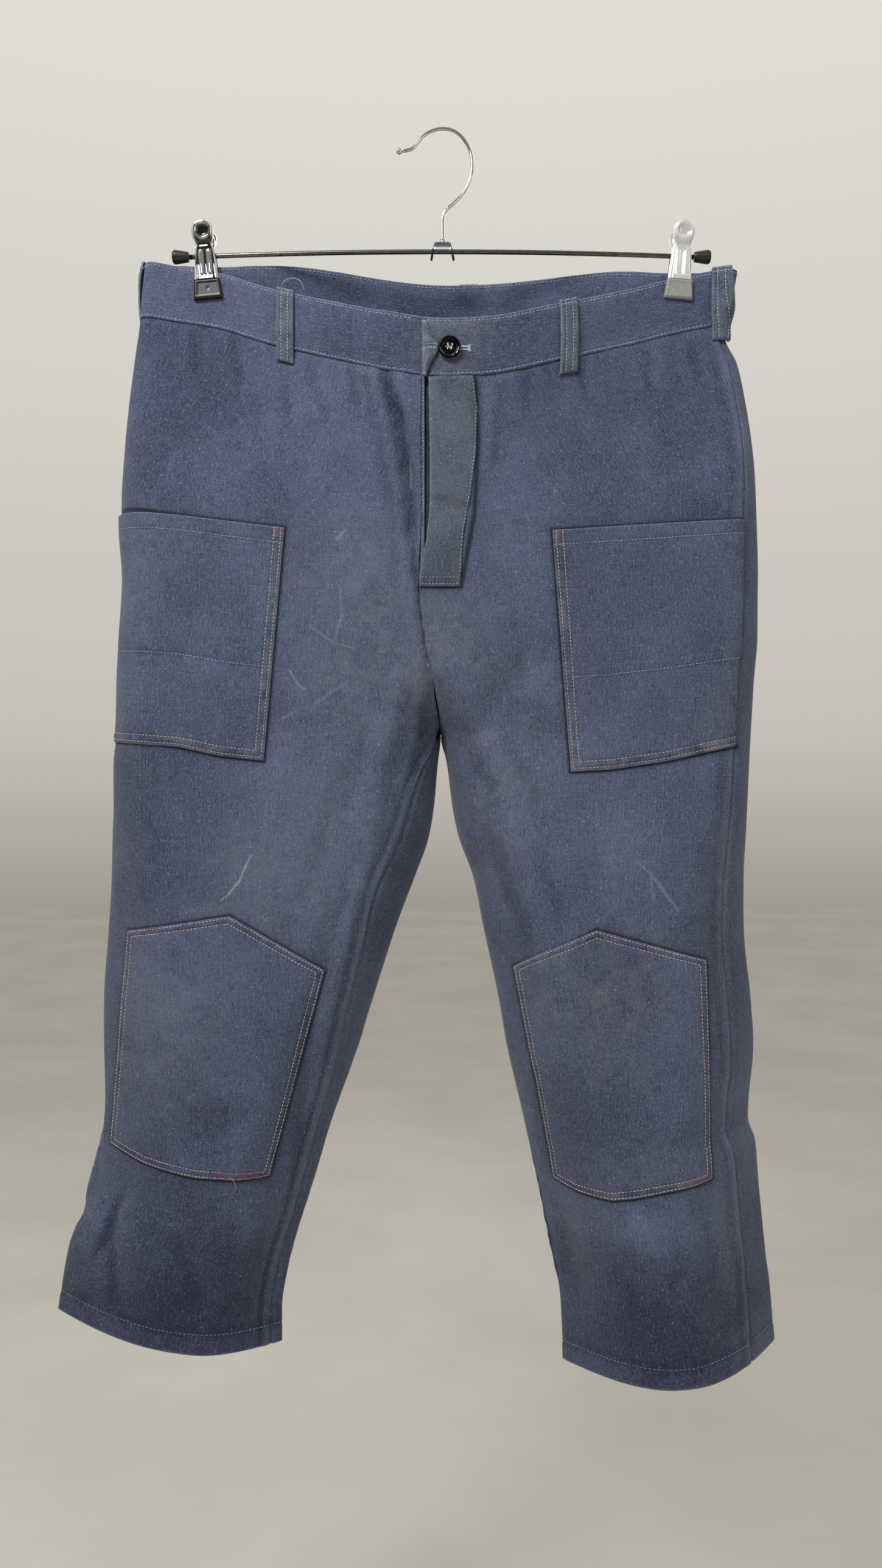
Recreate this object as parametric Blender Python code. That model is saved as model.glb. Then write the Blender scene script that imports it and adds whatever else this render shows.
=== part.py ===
"""Work trousers that hang by their waistband from a metal clip hanger.

Metres, with +Z up. The front of the trousers faces -Y and the wearer's right leg is at -X. The origin
is the inner top of the hanger's hook, where a chain or rail carries it.

The cloth is one surface round each leg. A level is a row round the leg, named by how far it hangs below
the hook before the waistline's sag and the hem's slant, and a place on a level is the distance along
the cloth from the leg's outer edge, positive over the front and negative over the back. Every panel,
and every piece that lies on one, is made from points of that surface.
"""

import math

import bmesh
import bpy
import numpy as np
from mathutils import Vector

MM = 0.001

# Driving sizes, in mm
CLOTH = 1.5  # wall of a panel
BAND_CLOTH = 2.4  # wall of the folded waistband
PATCH_CLOTH = 1.3  # wall of a pocket, patch or placket
GAP = 0.3  # between pieces that are sewn together
BAND_TOP = 100  # level of the waistband's top edge
SEAM = 142  # level where the panels hang from the waistband
FORK = 456  # level where the two legs part
FORK_RISE = 72  # height over which the fork's valley forms
HIP_LEVEL = 300  # from here down the clips no longer flatten the cloth
CLIP_X = 178  # from the middle to each clip
GRIP = 4.0  # half the thickness of the waist between the clips' pads
WAIST_BULGE = 38  # how far the waistband stands off the middle plane, over the grip
PANEL_COLUMNS = 15
EDGE_CROWDING = 0.12  # how much closer the columns are at a panel's edges
FLY_FOOT = -352  # height of the fly's lowest stitches

# One row for each level of a leg: where its outer and inner edge lie across, and how deep and how
# rounded it is. Above the fork the inner edge is the centre seam, at the front and at the back. The
# crease goes from 0, round at the edges, to 1, where the front and back meet in a fold.
COLUMNS = ("level", "outer", "inner", "back_inner", "front", "back", "side_round", "inner_round", "crease")
RIGHT_ROWS = (
    (100, -224.5, -15.2, 12.0, 42, 38, 8, 30, 0),
    (142, -228.0, -15.2, 12.0, 42, 38, 9, 30, 0),
    (177, -232.5, -15.3, 11.0, 43, 38, 14, 30, 0),
    (214, -236.5, -15.3, 10.0, 44, 38, 20, 30, 0),
    (251, -238.8, -15.3, 9.0, 45, 38, 25, 30, 0),
    (285, -240.0, -15.5, 8.0, 46, 38, 28, 30, 0),
    (345, -238.0, -17.2, 6.0, 46, 38, 32, 32, 0),
    (386, -240.5, -14.0, 4.0, 46, 38, 34, 34, 0),
    (417, -242.5, -8.0, 1.5, 46, 38, 35, 36, 0),
    (441, -243.2, -3.2, -0.5, 46, 37, 36, 38, 0),
    (456, -244.2, -1.4, -1.4, 46, 36, 36, 40, 0),
    (480, -246.8, -4.0, -4.0, 46, 35, 38, 42, 0.05),
    (510, -247.4, -6.5, -6.5, 45, 34, 42, 44, 0.1),
    (533, -248.6, -10.2, -10.2, 44, 33, 46, 46, 0.15),
    (563, -249.5, -20.6, -20.6, 43, 32, 50, 48, 0.25),
    (600, -251.6, -34.5, -34.5, 42, 31, 58, 50, 0.4),
    (655, -255.1, -53.0, -53.0, 42, 30, 68, 54, 0.55),
    (692, -255.7, -65.2, -65.2, 41, 29, 74, 56, 0.65),
    (735, -255.0, -81.0, -81.0, 41, 29, 80, 58, 0.75),
    (766, -257.0, -91.0, -91.0, 41, 28, 84, 60, 0.8),
    (803, -260.0, -103.0, -103.0, 41, 27, 86, 62, 0.85),
    (822, -267.5, -109.5, -109.5, 41, 27, 88, 62, 0.87),
    (840, -278.5, -114.5, -114.5, 41, 26, 92, 64, 0.9),
    (876, -286.6, -120.5, -120.5, 42, 26, 96, 65, 0.92),
    (902, -290.6, -121.0, -121.0, 42, 26, 98, 65, 0.93),
)
LEFT_ROWS = (
    (100, 222.5, -14.3, 12.0, 42, 38, 8, 30, 0),
    (122, 218.0, -13.0, 12.0, 42, 38, 8, 30, 0),
    (142, 212.6, -10.6, 12.0, 42, 38, 9, 30, 0),
    (153, 214.2, -10.3, 11.5, 42, 38, 10, 30, 0),
    (172, 222.6, -10.0, 11.0, 43, 38, 14, 30, 0),
    (214, 229.5, -9.6, 10.0, 44, 38, 20, 30, 0),
    (251, 233.2, -9.6, 9.0, 45, 38, 25, 30, 0),
    (285, 234.6, -11.0, 8.0, 46, 38, 28, 30, 0),
    (345, 236.4, -16.9, 6.0, 46, 38, 32, 32, 0),
    (386, 236.2, -13.7, 4.0, 46, 38, 34, 34, 0),
    (417, 233.5, -7.7, 1.5, 46, 38, 35, 36, 0),
    (441, 232.0, -2.9, -0.5, 46, 37, 36, 38, 0),
    (456, 231.0, -1.1, -1.1, 46, 36, 36, 40, 0),
    (480, 229.8, 3.4, 3.4, 48, 36, 38, 42, 0.05),
    (510, 228.6, 7.4, 7.4, 49, 36, 42, 46, 0.1),
    (533, 227.6, 12.3, 12.3, 50, 35, 46, 49, 0.15),
    (563, 226.2, 23.0, 23.0, 51, 34, 50, 52, 0.25),
    (600, 226.8, 30.4, 30.4, 53, 33, 56, 56, 0.4),
    (655, 232.6, 42.3, 42.3, 55, 32, 62, 62, 0.55),
    (692, 234.8, 49.0, 49.0, 57, 31, 66, 66, 0.65),
    (735, 231.3, 59.2, 59.2, 58, 30, 68, 68, 0.75),
    (748, 230.8, 62.3, 62.3, 58, 30, 69, 69, 0.78),
    (766, 236.1, 66.4, 66.4, 59, 30, 70, 71, 0.8),
    (803, 239.3, 74.6, 74.6, 60, 29, 72, 75, 0.85),
    (840, 243.1, 82.0, 82.0, 61, 28, 74, 77, 0.9),
    (876, 246.8, 88.3, 88.3, 62, 28, 76, 77, 0.92),
    (920, 251.0, 90.2, 90.2, 62, 28, 78, 78, 0.93),
)

# How far the seams show in from the leg's edge: over the front if positive, behind if negative
RIGHT_OUTSEAM = ((100, -4), (142, -5), (200, -8), (902, -10))
RIGHT_INSEAM = (
    (456, 0), (480, 9), (500, 16), (545, 23), (567, 25), (622, 18), (660, 16), (729, 10), (817, 8), (902, 8),
)
LEFT_OUTSEAM = ((100, 2), (142, 3), (223, 6), (300, 10), (400, 12), (480, 10.6), (655, 15), (850, 16), (920, 19))
LEFT_INSEAM = ((456, 0), (500, -6), (560, -8), (920, -9))

# How far the waistline hangs below its level across the front and the back
FRONT_SAG = ((-228, 0), (-167, 9), (-127, 23), (-84, 38), (-46, 49.5), (0, 57.5), (26, 56), (91, 38),
             (127, 26), (169, 14), (208, 7), (222, 6.5))
BACK_SAG = ((-228, 0), (-167, 2), (-99, -3), (0, 1.5), (118, 3), (170, 6.5), (222, 6.5))
SAG_FADES = 260  # the sag is gone this far below the seam

# The back of the right leg flares past its front below the knee
RIGHT_FLARE = ((742, 0), (766, 8), (785, 13), (806, 17), (822, 12.5), (836, 5), (850, 0))

# Broad folds: from the first point to the second, over this width, so deep into the cloth
FOLD_COLUMNS = ("half", "face", "x0", "level0", "x1", "level1", "width", "depth")
FOLDS = (
    ("right", "front", -40, 150, -20, 300, 8, 6),
    ("right", "front", -60, 470, -100, 590, 12, 4),
    ("right", "front", -70, 560, -118, 760, 11, 5),
    ("right", "front", -200, 800, -180, 880, 14, 4),
    ("right", "front", -240, 500, -236, 640, 14, 3),
    ("left", "front", 30, 150, 26, 210, 6, 3),
    ("left", "front", 30, 540, 62, 680, 11, 5),
    ("left", "front", 66, 700, 96, 860, 12, 4),
    ("left", "front", 196, 560, 200, 760, 12, 4),
    ("left", "front", 190, 800, 200, 900, 13, 5),
    ("left", "front", 60, 400, 20, 470, 14, 4),
    ("right", "front", -70, 395, -26, 455, 14, 4),
    ("right", "back", -120, 460, -150, 700, 18, 7),
    ("left", "back", 120, 460, 150, 700, 18, 7),
    ("right", "back", -90, 360, -20, 440, 16, 6),
    ("left", "back", 90, 360, 20, 440, 16, 6),
)

# Rows of a panel: from each level on, they are about this far apart
ROW_STEPS = ((142, 13), (168, 26), (385, 14), (470, 24), (560, 34), (735, 20), (850, 26))

# Outlines of what is sewn on a front panel, as (x, z) seen from the front. A pocket has no point at its
# outer side, where it ends with the panel.
RIGHT_POCKET = ((-260, -294.0), (-113.3, -309.9), (-128.2, -477.0), (-260, -457.2))
LEFT_POCKET = ((260, -301.8), (78.7, -311.6), (91.8, -484.9), (260, -459.3))
RIGHT_KNEE = ((-226.7, -599.3), (-153.5, -588.7), (-85.1, -627.8), (-125.9, -775.9), (-178.5, -777.3),
              (-216.6, -766.7), (-242.5, -754.9))
LEFT_KNEE = ((51.2, -623.9), (109.8, -597.8), (187.6, -619.1), (191.9, -774.6), (160.0, -783.5),
             (120.7, -787.6), (80.7, -776.8))
PLACKET = ((-40, -150), (21.8, -150), (21.8, -248), (17.0, -304), (12.8, FLY_FOOT), (-40, FLY_FOOT))

# Belt loops: the middle of each along the cloth or across the front, and its width
LOOP_WIDTH = 14.5
LOOP_PAST_SEAM = 12  # how far a loop runs below the waistband
LOOP_FOOT = 0.7  # how far its sewn ends stand off
LOOP_COLUMNS = ("name", "half", "face", "x", "stands_off")
LOOPS = (
    ("loop_right_side", "right", "back", -221.0, 3.0),
    ("loop_right_front", "right", "front", -116.5, 1.6),
    ("loop_left_front", "left", "front", 92.0, 1.6),
    ("loop_left_side", "left", "front", 209.5, 3.0),
    ("loop_back", "left", "back", 20.5, 1.6),
)

# Hanger
WIRE = 2.9  # hook wire, across
BAR_ACROSS = 3.6
BAR_Z = -91.5  # middle of the bar at its centre
BAR_BOW = 4.0  # how far its ends hang lower
BAR_ENDS = (-191, 189.5)
CAP_LONG = 12.5
HOOK_PATH = (  # x and z of the wire's middle, from the tip to the stem
    (-30.4, -15.4), (-26.4, -14.8), (-22.4, -13.2), (-18.4, -8.6), (-15.0, -4.6), (-9.0, -0.6),
    (-1.0, 1.45), (7.5, 0.2), (14.8, -5.0), (20.0, -13.4), (22.2, -22.6), (22.0, -31.6), (19.6, -40.0),
    (15.2, -47.6), (9.2, -54.2), (3.6, -59.2), (0.8, -63.2), (0, -68.0), (0, -76.0), (0, -82.6),
)
BALL = 2.5  # radius of the ball at the hook's tip
BRACKET_TOP = -85.4
PAD = (21.5, 3.6, 14.4)  # width, thickness, height
PAD_TOP = -115.0
CLIP_LEAN = 5  # degrees that the clips lean outward

CLOTH_BLUE = (0.075, 0.093, 0.142)
CLOTH_GREY = (0.082, 0.098, 0.138)
CHROME = (0.62, 0.62, 0.62)
BLACK = (0.012, 0.012, 0.012)
BUTTON_METAL = (0.09, 0.085, 0.075)


def smooth(points, x):
    """The height of a smooth curve through (x, y) points, which doesn't pass their highs and lows."""
    xs, ys = np.array(points, float).T
    run = np.diff(xs)
    slope = np.diff(ys) / run
    before, after = slope[:-1], slope[1:]
    same = before * after > 0
    middle = np.where(same, 2 * before * after / np.where(same, before + after, 1), 0)
    tangent = np.concatenate([slope[:1], middle, slope[-1:]])
    x = np.clip(x, xs[0], xs[-1])
    i = np.clip(np.searchsorted(xs, x, side="right") - 1, 0, len(run) - 1)
    t = (x - xs[i]) / run[i]
    start = (1 + 2 * t) * (1 - t) ** 2 * ys[i] + t * (1 - t) ** 2 * run[i] * tangent[i]
    return start + t * t * (3 - 2 * t) * ys[i + 1] + t * t * (t - 1) * run[i] * tangent[i + 1]


def ease(x):
    """0 below 0 and 1 above 1, with a smooth climb between."""
    x = np.clip(x, 0, 1)
    return x * x * (3 - 2 * x)


class Half:
    """One leg and its side of the hips."""

    def __init__(self, name, turn, rows, outseam, inseam, hem_slant):
        self.name = name
        self.turn = turn  # the way from the outer edge to the inner one, along X
        self.rows = [dict(zip(COLUMNS, row)) for row in rows]
        self.outseam = outseam
        self.inseam = inseam
        self.hem = rows[-1][0]
        self.hem_slant = hem_slant  # the outer end of the hem is this much higher than its middle
        self.seen = {}

    def size(self, column, level):
        return float(smooth([(row["level"], row[column]) for row in self.rows], level))

    def line(self, face, level):
        """The cloth's points over one face at one level, from the outer edge to the inner one."""
        outer = self.size("outer", level)
        inner = self.size("inner" if face == "front" else "back_inner", level)
        depth = self.size(face, level)
        side_round = self.size("side_round", level)
        inner_round = self.size("inner_round", level)
        width = abs(inner - outer)
        start = math.acos(1 - min(1, max(0, (FORK - level) / FORK_RISE)))
        side = np.linspace(0, math.pi / 2, 20)
        fork = np.linspace(math.pi / 2, start, 20)
        last_flat = width - inner_round * math.cos(start)
        along = np.concatenate([
            side_round * (1 - np.cos(side)),
            np.linspace(side_round, last_flat, 30)[1:-1],
            width - inner_round * (math.cos(start) - np.cos(fork)),
        ])
        height = np.concatenate([np.sin(side), np.ones(28), np.sin(fork)])
        lens = np.sin(math.pi / 2 * np.concatenate([1 - np.cos(side), np.ones(28), 1 - np.cos(fork)]))
        height += (lens - height) * self.size("crease", level)
        x = outer + self.turn * along
        y = self.offset(face, x, level, depth) * height
        if face == "back" and self.name == "right":
            flare = smooth(RIGHT_FLARE, level) * ease(y / 5) * (1 - ease(along / 70))
            x = x - self.turn * flare
        y = y - self.folds(face, x, level)
        z = -level - self.sag(face, x, level) + self.slant(x, level)
        return np.stack([x, -y if face == "front" else y, z], axis=1)

    def offset(self, face, x, level, depth):
        """How far the cloth stands off the middle plane: gripped flat by the clips at the waist."""
        bulge = WAIST_BULGE if face == "front" else WAIST_BULGE - 4
        span = np.clip(np.abs(x) / (CLIP_X - PAD[0] - 8), 0, 1)
        waist = GRIP + bulge * np.cos(math.pi / 2 * span) ** 1.3
        waist = waist + 2.6 * ease((np.abs(x) - CLIP_X - PAD[0]) / 18)
        full = ease((level - SEAM + 10) / (HIP_LEVEL - SEAM))
        return waist * (1 - full) + depth * full

    def folds(self, face, x, level):
        """How far the broad folds sink the cloth."""
        sunk = np.zeros_like(x)
        for row in FOLDS:
            fold = dict(zip(FOLD_COLUMNS, row))
            if (fold["half"], fold["face"]) != (self.name, face):
                continue
            share = (level - fold["level0"]) / (fold["level1"] - fold["level0"])
            middle = fold["x0"] + (fold["x1"] - fold["x0"]) * share
            strength = ease((share + 0.25) / 0.5) * ease((1.25 - share) / 0.5)
            sunk += fold["depth"] * strength * np.exp(-(((x - middle) / fold["width"]) ** 2))
        return sunk

    def sag(self, face, x, level):
        table = FRONT_SAG if face == "front" else BACK_SAG
        return smooth(table, x) * (1 - ease((level - SEAM) / SAG_FADES))

    def slant(self, x, level):
        """The hem is square to the leg, so its outer end is higher."""
        outer = self.size("outer", level)
        inner = self.size("inner", level)
        across = (x - (outer + inner) / 2) / ((outer - inner) / 2)
        return self.hem_slant * across * ease((level - 560) / (self.hem - 560))

    def loop(self, level):
        """Places and points round the leg at a level. Below the fork it is closed, and goes round past
        its inner edge on both sides."""
        level = round(float(level), 3)
        if level not in self.seen:
            front, back = self.line("front", level), self.line("back", level)
            path = [back[::-1], front]
            if level >= FORK:
                path = [front, back[::-1], front, back[::-1]]
            points = np.concatenate(path)
            steps = np.linalg.norm(np.diff(points, axis=0), axis=1)
            keep = np.concatenate([[True], steps > 1e-6])
            place = np.concatenate([[0], np.cumsum(steps)])
            first = len(back) if level < FORK else len(front) + len(back)
            place = place - place[first]
            self.seen[level] = place[keep], points[keep]
        return self.seen[level]

    def point(self, place, level):
        places, points = self.loop(level)
        return np.array([np.interp(place, places, points[:, k]) for k in range(3)])

    def long(self, face, level):
        """The length of the cloth over one face."""
        line = self.line(face, level)
        return float(np.linalg.norm(np.diff(line, axis=0), axis=1).sum())

    def reach(self, face, level, inset, from_inner=False):
        """How far along a face its cloth is this far in from its edge."""
        line = self.line(face, level)
        if from_inner:
            line = line[::-1]
        place = np.concatenate([[0], np.cumsum(np.linalg.norm(np.diff(line, axis=0), axis=1))])
        inward = np.maximum.accumulate(np.abs(line[:, 0] - line[0, 0]))
        near = min(len(line), 60)
        return float(np.interp(inset, inward[:near], place[:near]))

    def place_at(self, face, x, level):
        """The place where a face's cloth is at this x."""
        line = self.line(face, level)
        place = np.concatenate([[0], np.cumsum(np.linalg.norm(np.diff(line, axis=0), axis=1))])
        order = np.argsort(line[:, 0])
        found = float(np.interp(x, line[order, 0], place[order]))
        return found if face == "front" else -found

    def seams(self, face, level):
        """The places where a panel starts and ends at a level, with half a gap at each seam."""
        outset = float(smooth(self.outseam, level))
        outseam = self.reach("front", level, outset) if outset > 0 else -self.reach("back", level, -outset)
        front, back = self.long("front", level), self.long("back", level)
        inset = float(smooth(self.inseam, level)) if level > FORK else 0
        past = self.reach("front" if inset > 0 else "back", level, abs(inset), from_inner=True)
        past = past if inset > 0 else -past
        if face == "front":
            return outseam + GAP / 2, front - past - GAP / 2
        return outseam - GAP / 2, -back - past + GAP / 2


RIGHT = Half("right", 1, RIGHT_ROWS, RIGHT_OUTSEAM, RIGHT_INSEAM, 12)
LEFT = Half("left", -1, LEFT_ROWS, LEFT_OUTSEAM, LEFT_INSEAM, 7.2)


def levels(half):
    """The levels of a panel's rows."""
    rows = []
    ends = [start for start, _ in ROW_STEPS[1:]] + [half.hem]
    for (start, step), end in zip(ROW_STEPS, ends):
        count = max(1, round((end - start) / step))
        rows += [start + (end - start) * i / count for i in range(count)]
    return [SEAM + GAP / 2] + rows[1:] + [half.hem]


def shares(columns):
    """How far across a panel its columns are, closer together at its edges."""
    t = np.linspace(0, 1, columns + 1)
    return t - EDGE_CROWDING * np.sin(2 * math.pi * t)


def outward(half, places, level_list):
    """The cloth's normals over a grid of places, which point out of the leg."""
    reach = 1.5
    normals = np.zeros(places.shape + (3,))
    for i, level in enumerate(level_list):
        across = half.point(places[i] + reach, level) - half.point(places[i] - reach, level)
        down = half.point(places[i], level + reach) - half.point(places[i], level - reach)
        cross = np.cross(across.T, down.T) * half.turn
        normals[i] = cross / np.linalg.norm(cross, axis=1, keepdims=True)
    return -normals


def grid_faces(rows, columns, flip):
    """Triangles of a grid of points, row by row."""
    faces = []
    for i in range(rows - 1):
        for j in range(columns - 1):
            a = i * columns + j
            b, c, d = a + 1, a + columns + 1, a + columns
            pair = [(a, b, c), (a, c, d)]
            faces += [face[::-1] for face in pair] if flip else pair
    return faces


def panel_sheet(half, face):
    """The outer face of a panel: its points, its normals and its triangles."""
    rows = levels(half)
    share = shares(PANEL_COLUMNS)
    places = []
    for level in rows:
        start, end = half.seams(face, level)
        places.append(start + (end - start) * share)
    places = np.array(places)
    points = np.array([half.point(place, level).T for place, level in zip(places, rows)])
    normals = outward(half, places, rows)
    flip = (half.turn > 0) == (face == "front")
    faces = grid_faces(len(rows), PANEL_COLUMNS + 1, not flip)
    return points.reshape(-1, 3), normals.reshape(-1, 3), faces


def turn_out(points, normals, faces):
    """The triangles, turned so that they face the way of the normals."""
    a, b, c = (points[[face[k] for face in faces]] for k in range(3))
    along = (np.cross(b - a, c - a) * normals[[face[0] for face in faces]]).sum()
    return faces if along > 0 else [tuple(face)[::-1] for face in faces]


def cut(sheet, outline):
    """The part of a sheet inside an outline, which is convex and seen from the front."""
    points, normals, faces = sheet
    mesh = bmesh.new()
    out = mesh.verts.layers.float_vector.new("out")
    verts = [mesh.verts.new(p) for p in points]
    for vert, normal in zip(verts, normals):
        vert[out] = Vector(normal)
    for face in faces:
        mesh.faces.new([verts[i] for i in face])
    middle = np.mean(outline, axis=0)
    for (x0, z0), (x1, z1) in zip(outline, outline[1:] + outline[:1]):
        normal = np.array([z1 - z0, 0, x0 - x1])
        inside = np.dot(normal, [middle[0] - x0, 0, middle[1] - z0]) > 0
        bmesh.ops.bisect_plane(
            mesh,
            geom=mesh.verts[:] + mesh.edges[:] + mesh.faces[:],
            dist=0.4,
            plane_co=(x0, 0, z0),
            plane_no=-normal if inside else normal,
            clear_outer=True,
        )
    bmesh.ops.triangulate(mesh, faces=mesh.faces[:])
    mesh.verts.index_update()
    cut_points = np.array([v.co for v in mesh.verts])
    cut_normals = np.array([v[out].normalized() for v in mesh.verts])
    cut_faces = [tuple(v.index for v in face.verts) for face in mesh.faces]
    mesh.free()
    return cut_points, cut_normals, cut_faces


def material(name, colour, roughness, metallic=0.0):
    made = bpy.data.materials.new(name)
    made.use_nodes = True
    shader = made.node_tree.nodes["Principled BSDF"]
    shader.inputs["Base Color"].default_value = (*colour, 1)
    shader.inputs["Roughness"].default_value = roughness
    shader.inputs["Metallic"].default_value = metallic
    return made


def add(name, verts, faces, colour, roughness, metallic=0.0):
    """An object with this mesh, in mm, and its own material."""
    mesh = bpy.data.meshes.new(name)
    mesh.from_pydata([tuple(float(c) * MM for c in v) for v in verts], [], [tuple(f) for f in faces])
    solid = bmesh.new()
    solid.from_mesh(mesh)
    if solid.calc_volume(signed=True) < 0:
        bmesh.ops.reverse_faces(solid, faces=solid.faces[:])
    solid.to_mesh(mesh)
    solid.free()
    mesh.materials.append(material(name, colour, roughness, metallic))
    made = bpy.data.objects.new(name, mesh)
    bpy.context.scene.collection.objects.link(made)
    return made


def add_cloth(name, sheet, lift, wall, colour=CLOTH_BLUE):
    """A closed wall over a sheet: its inner face is lifted this far along the sheet's normals."""
    points, normals, faces = sheet
    faces = turn_out(points, normals, faces)
    count = len(points)
    verts = np.concatenate([points + normals * (lift + wall), points + normals * lift])
    walls = list(faces) + [tuple(i + count for i in face[::-1]) for face in faces]
    edges = {}
    for face in faces:
        for a, b in zip(face, face[1:] + face[:1]):
            edges[a, b] = True
    for a, b in edges:
        if (b, a) not in edges:
            walls += [(b, a, a + count), (b, a + count, b + count)]
    return add(name, verts, walls, colour, 0.9)


def add_panels():
    """The four panels, and what is sewn on the two at the front."""
    sheets = {}
    for half in (RIGHT, LEFT):
        for face in ("front", "back"):
            sheets[half.name, face] = panel_sheet(half, face)
            add_cloth(f"{half.name}_{face}", sheets[half.name, face], -CLOTH, CLOTH)
    laid = (
        ("right_pocket", "right", RIGHT_POCKET, CLOTH_BLUE),
        ("left_pocket", "left", LEFT_POCKET, CLOTH_BLUE),
        ("right_knee_patch", "right", RIGHT_KNEE, CLOTH_BLUE),
        ("left_knee_patch", "left", LEFT_KNEE, CLOTH_BLUE),
        ("fly_placket", "left", PLACKET, CLOTH_GREY),
    )
    for name, half, outline, colour in laid:
        add_cloth(name, cut(sheets[half, "front"], outline), GAP, PATCH_CLOTH, colour)


def front_point(half, x, level):
    """The point of the front's cloth at this x."""
    return half.point(half.place_at("front", x, level), level)


def add_waistband():
    """The waistband: from its button end behind the fly, round the back, to its buttonhole end."""
    step_in = BAND_CLOTH + 0.6
    share = shares(PANEL_COLUMNS)
    rows, normals = [], []
    band_levels = (BAND_TOP, (BAND_TOP + SEAM) / 2, SEAM - GAP / 2)
    for level in band_levels:
        row = [front_point(LEFT, x, level) + np.array([0, step_in, 0]) for x in (26, 14, 2, -8)]
        row_normals = [np.array([0, -1.0, 0])] * len(row)
        for half, forward in ((RIGHT, True), (LEFT, False)):
            for face in ("front", "back") if forward else ("back", "front"):
                start, end = half.seams(face, level)
                places = (start + (end - start) * share)[:: -1 if forward == (face == "front") else 1]
                if face == "back":
                    places = places[1:]
                elif not forward:
                    places = places[1:]
                points = half.point(places, level).T
                out = outward(half, places[None, :], [level])[0]
                if half is RIGHT and face == "front":
                    tuck = step_in * ease((points[:, 0] + 25) / 8)
                    points = points - out * tuck[:, None]
                row += list(points)
                row_normals += list(out)
        rows.append(row)
        normals.append(row_normals)
    points = np.array(rows)
    faces = grid_faces(len(band_levels), points.shape[1], False)
    sheet = points.reshape(-1, 3), np.array(normals).reshape(-1, 3), faces
    add_cloth("waistband", sheet, -BAND_CLOTH, BAND_CLOTH)


def add_fly_underlap():
    """The strip behind the fly's opening, which the dark gap shows."""
    behind = CLOTH + 0.9
    rows = [level for level in levels(RIGHT) if level < -FLY_FOOT + 12]
    across = ((RIGHT, -24), (RIGHT, -20), (RIGHT, -17.5), (LEFT, -7), (LEFT, 4), (LEFT, 14))
    points = [front_point(half, x, level) + np.array([0, behind, 0]) for level in rows for half, x in across]
    normals = np.tile([0, -1.0, 0], (len(points), 1))
    sheet = np.array(points), normals, grid_faces(len(rows), len(across), False)
    add_cloth("fly_underlap", sheet, -CLOTH, CLOTH, CLOTH_GREY)


def add_waistband_end():
    """The folded end of the waistband, drawn to a point by the button."""
    left, tip = -14.6, -3.4
    top, foot = -160.5, -199.8
    middle = -179.8
    stand_off, cloth = 0.6, 1.8
    surface = -front_point(LEFT, -8, SEAM - 21)[1]
    verts = []
    across = (0, 0.35, 0.7, 1)
    heights = np.linspace(0, 1, 11)
    for share in heights:
        z = top + (foot - top) * share
        near = 1 - abs(z - middle) / (middle - foot)
        right = left + 3.2 + (tip - left - 3.2) * max(0, near) ** 1.4
        puff = 1.4 + 1.6 * math.sin(math.pi * share) * (1 - 0.5 * math.exp(-(((z - middle) / 3) ** 2)))
        for k in across:
            bulge = puff * math.sin(math.pi * (0.12 + 0.76 * k))
            verts.append((left + (right - left) * k, -surface - stand_off - bulge, z))
    points = np.array(verts)
    normals = np.tile([0, -1.0, 0], (len(points), 1))
    sheet = points, normals, grid_faces(len(heights), len(across), False)
    add_cloth("waistband_end", sheet, 0, cloth, CLOTH_GREY)


def add_loops():
    """The belt loops, each a strip over the waistband that stands off in its middle."""
    cloth = 1.8
    across = np.linspace(-0.5, 0.5, 5)
    for row in LOOPS:
        loop = dict(zip(LOOP_COLUMNS, row))
        half = RIGHT if loop["half"] == "right" else LEFT
        rows = np.linspace(BAND_TOP - 1.5, SEAM + LOOP_PAST_SEAM, 8)
        points, normals = [], []
        for share, level in zip(np.linspace(0, 1, len(rows)), rows):
            middle = half.place_at(loop["face"], loop["x"], max(level, BAND_TOP))
            places = middle + across * LOOP_WIDTH
            held = max(level, BAND_TOP)
            out = outward(half, places[None, :], [held])[0]
            base = half.point(places, held).T - np.array([0, 0, level - held])
            lift = LOOP_FOOT + loop["stands_off"] * math.sin(math.pi * share) ** 0.6
            points += list(base + out * lift)
            normals += list(out)
        sheet = np.array(points), np.array(normals), grid_faces(len(rows), len(across), False)
        add_cloth(loop["name"], sheet, 0, cloth)


def lathe(profile, sides):
    """Points and faces of a solid turned about Z, from (radius, height) pairs. A radius of 0 is a tip."""
    verts, faces, rings = [], [], []
    for radius, height in profile:
        ring = [len(verts) + i for i in range(1 if radius == 0 else sides)]
        for i in range(len(ring)):
            angle = 2 * math.pi * i / sides
            verts.append((radius * math.cos(angle), radius * math.sin(angle), height))
        rings.append(ring)
    for low, high in zip(rings, rings[1:]):
        for i in range(sides):
            k = (i + 1) % sides
            corners = [low[i % len(low)], low[k % len(low)], high[k % len(high)], high[i % len(high)]]
            faces.append(tuple(dict.fromkeys(corners)))
    return verts, faces


def add_button():
    """The waist button: a domed cap with a raised rim on a short shank."""
    centre = (4.7, -180.2)
    seat = -front_point(LEFT, centre[0], SEAM - 21)[1]
    profile = (
        (0, 0), (3.2, 0), (3.2, 1.8), (7.2, 2.0), (7.9, 2.7), (7.6, 3.7), (6.7, 4.0), (5.9, 3.4),
        (4.4, 3.3), (3.6, 4.0), (2.2, 4.6), (0, 4.8),
    )
    verts, faces = lathe(profile, 24)
    button = add("waist_button", verts, faces, BUTTON_METAL, 0.4, 0.9)
    button.rotation_euler = (math.pi / 2, 0, 0)
    button.location = (centre[0] * MM, (-seat - 0.9) * MM, centre[1] * MM)


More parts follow.
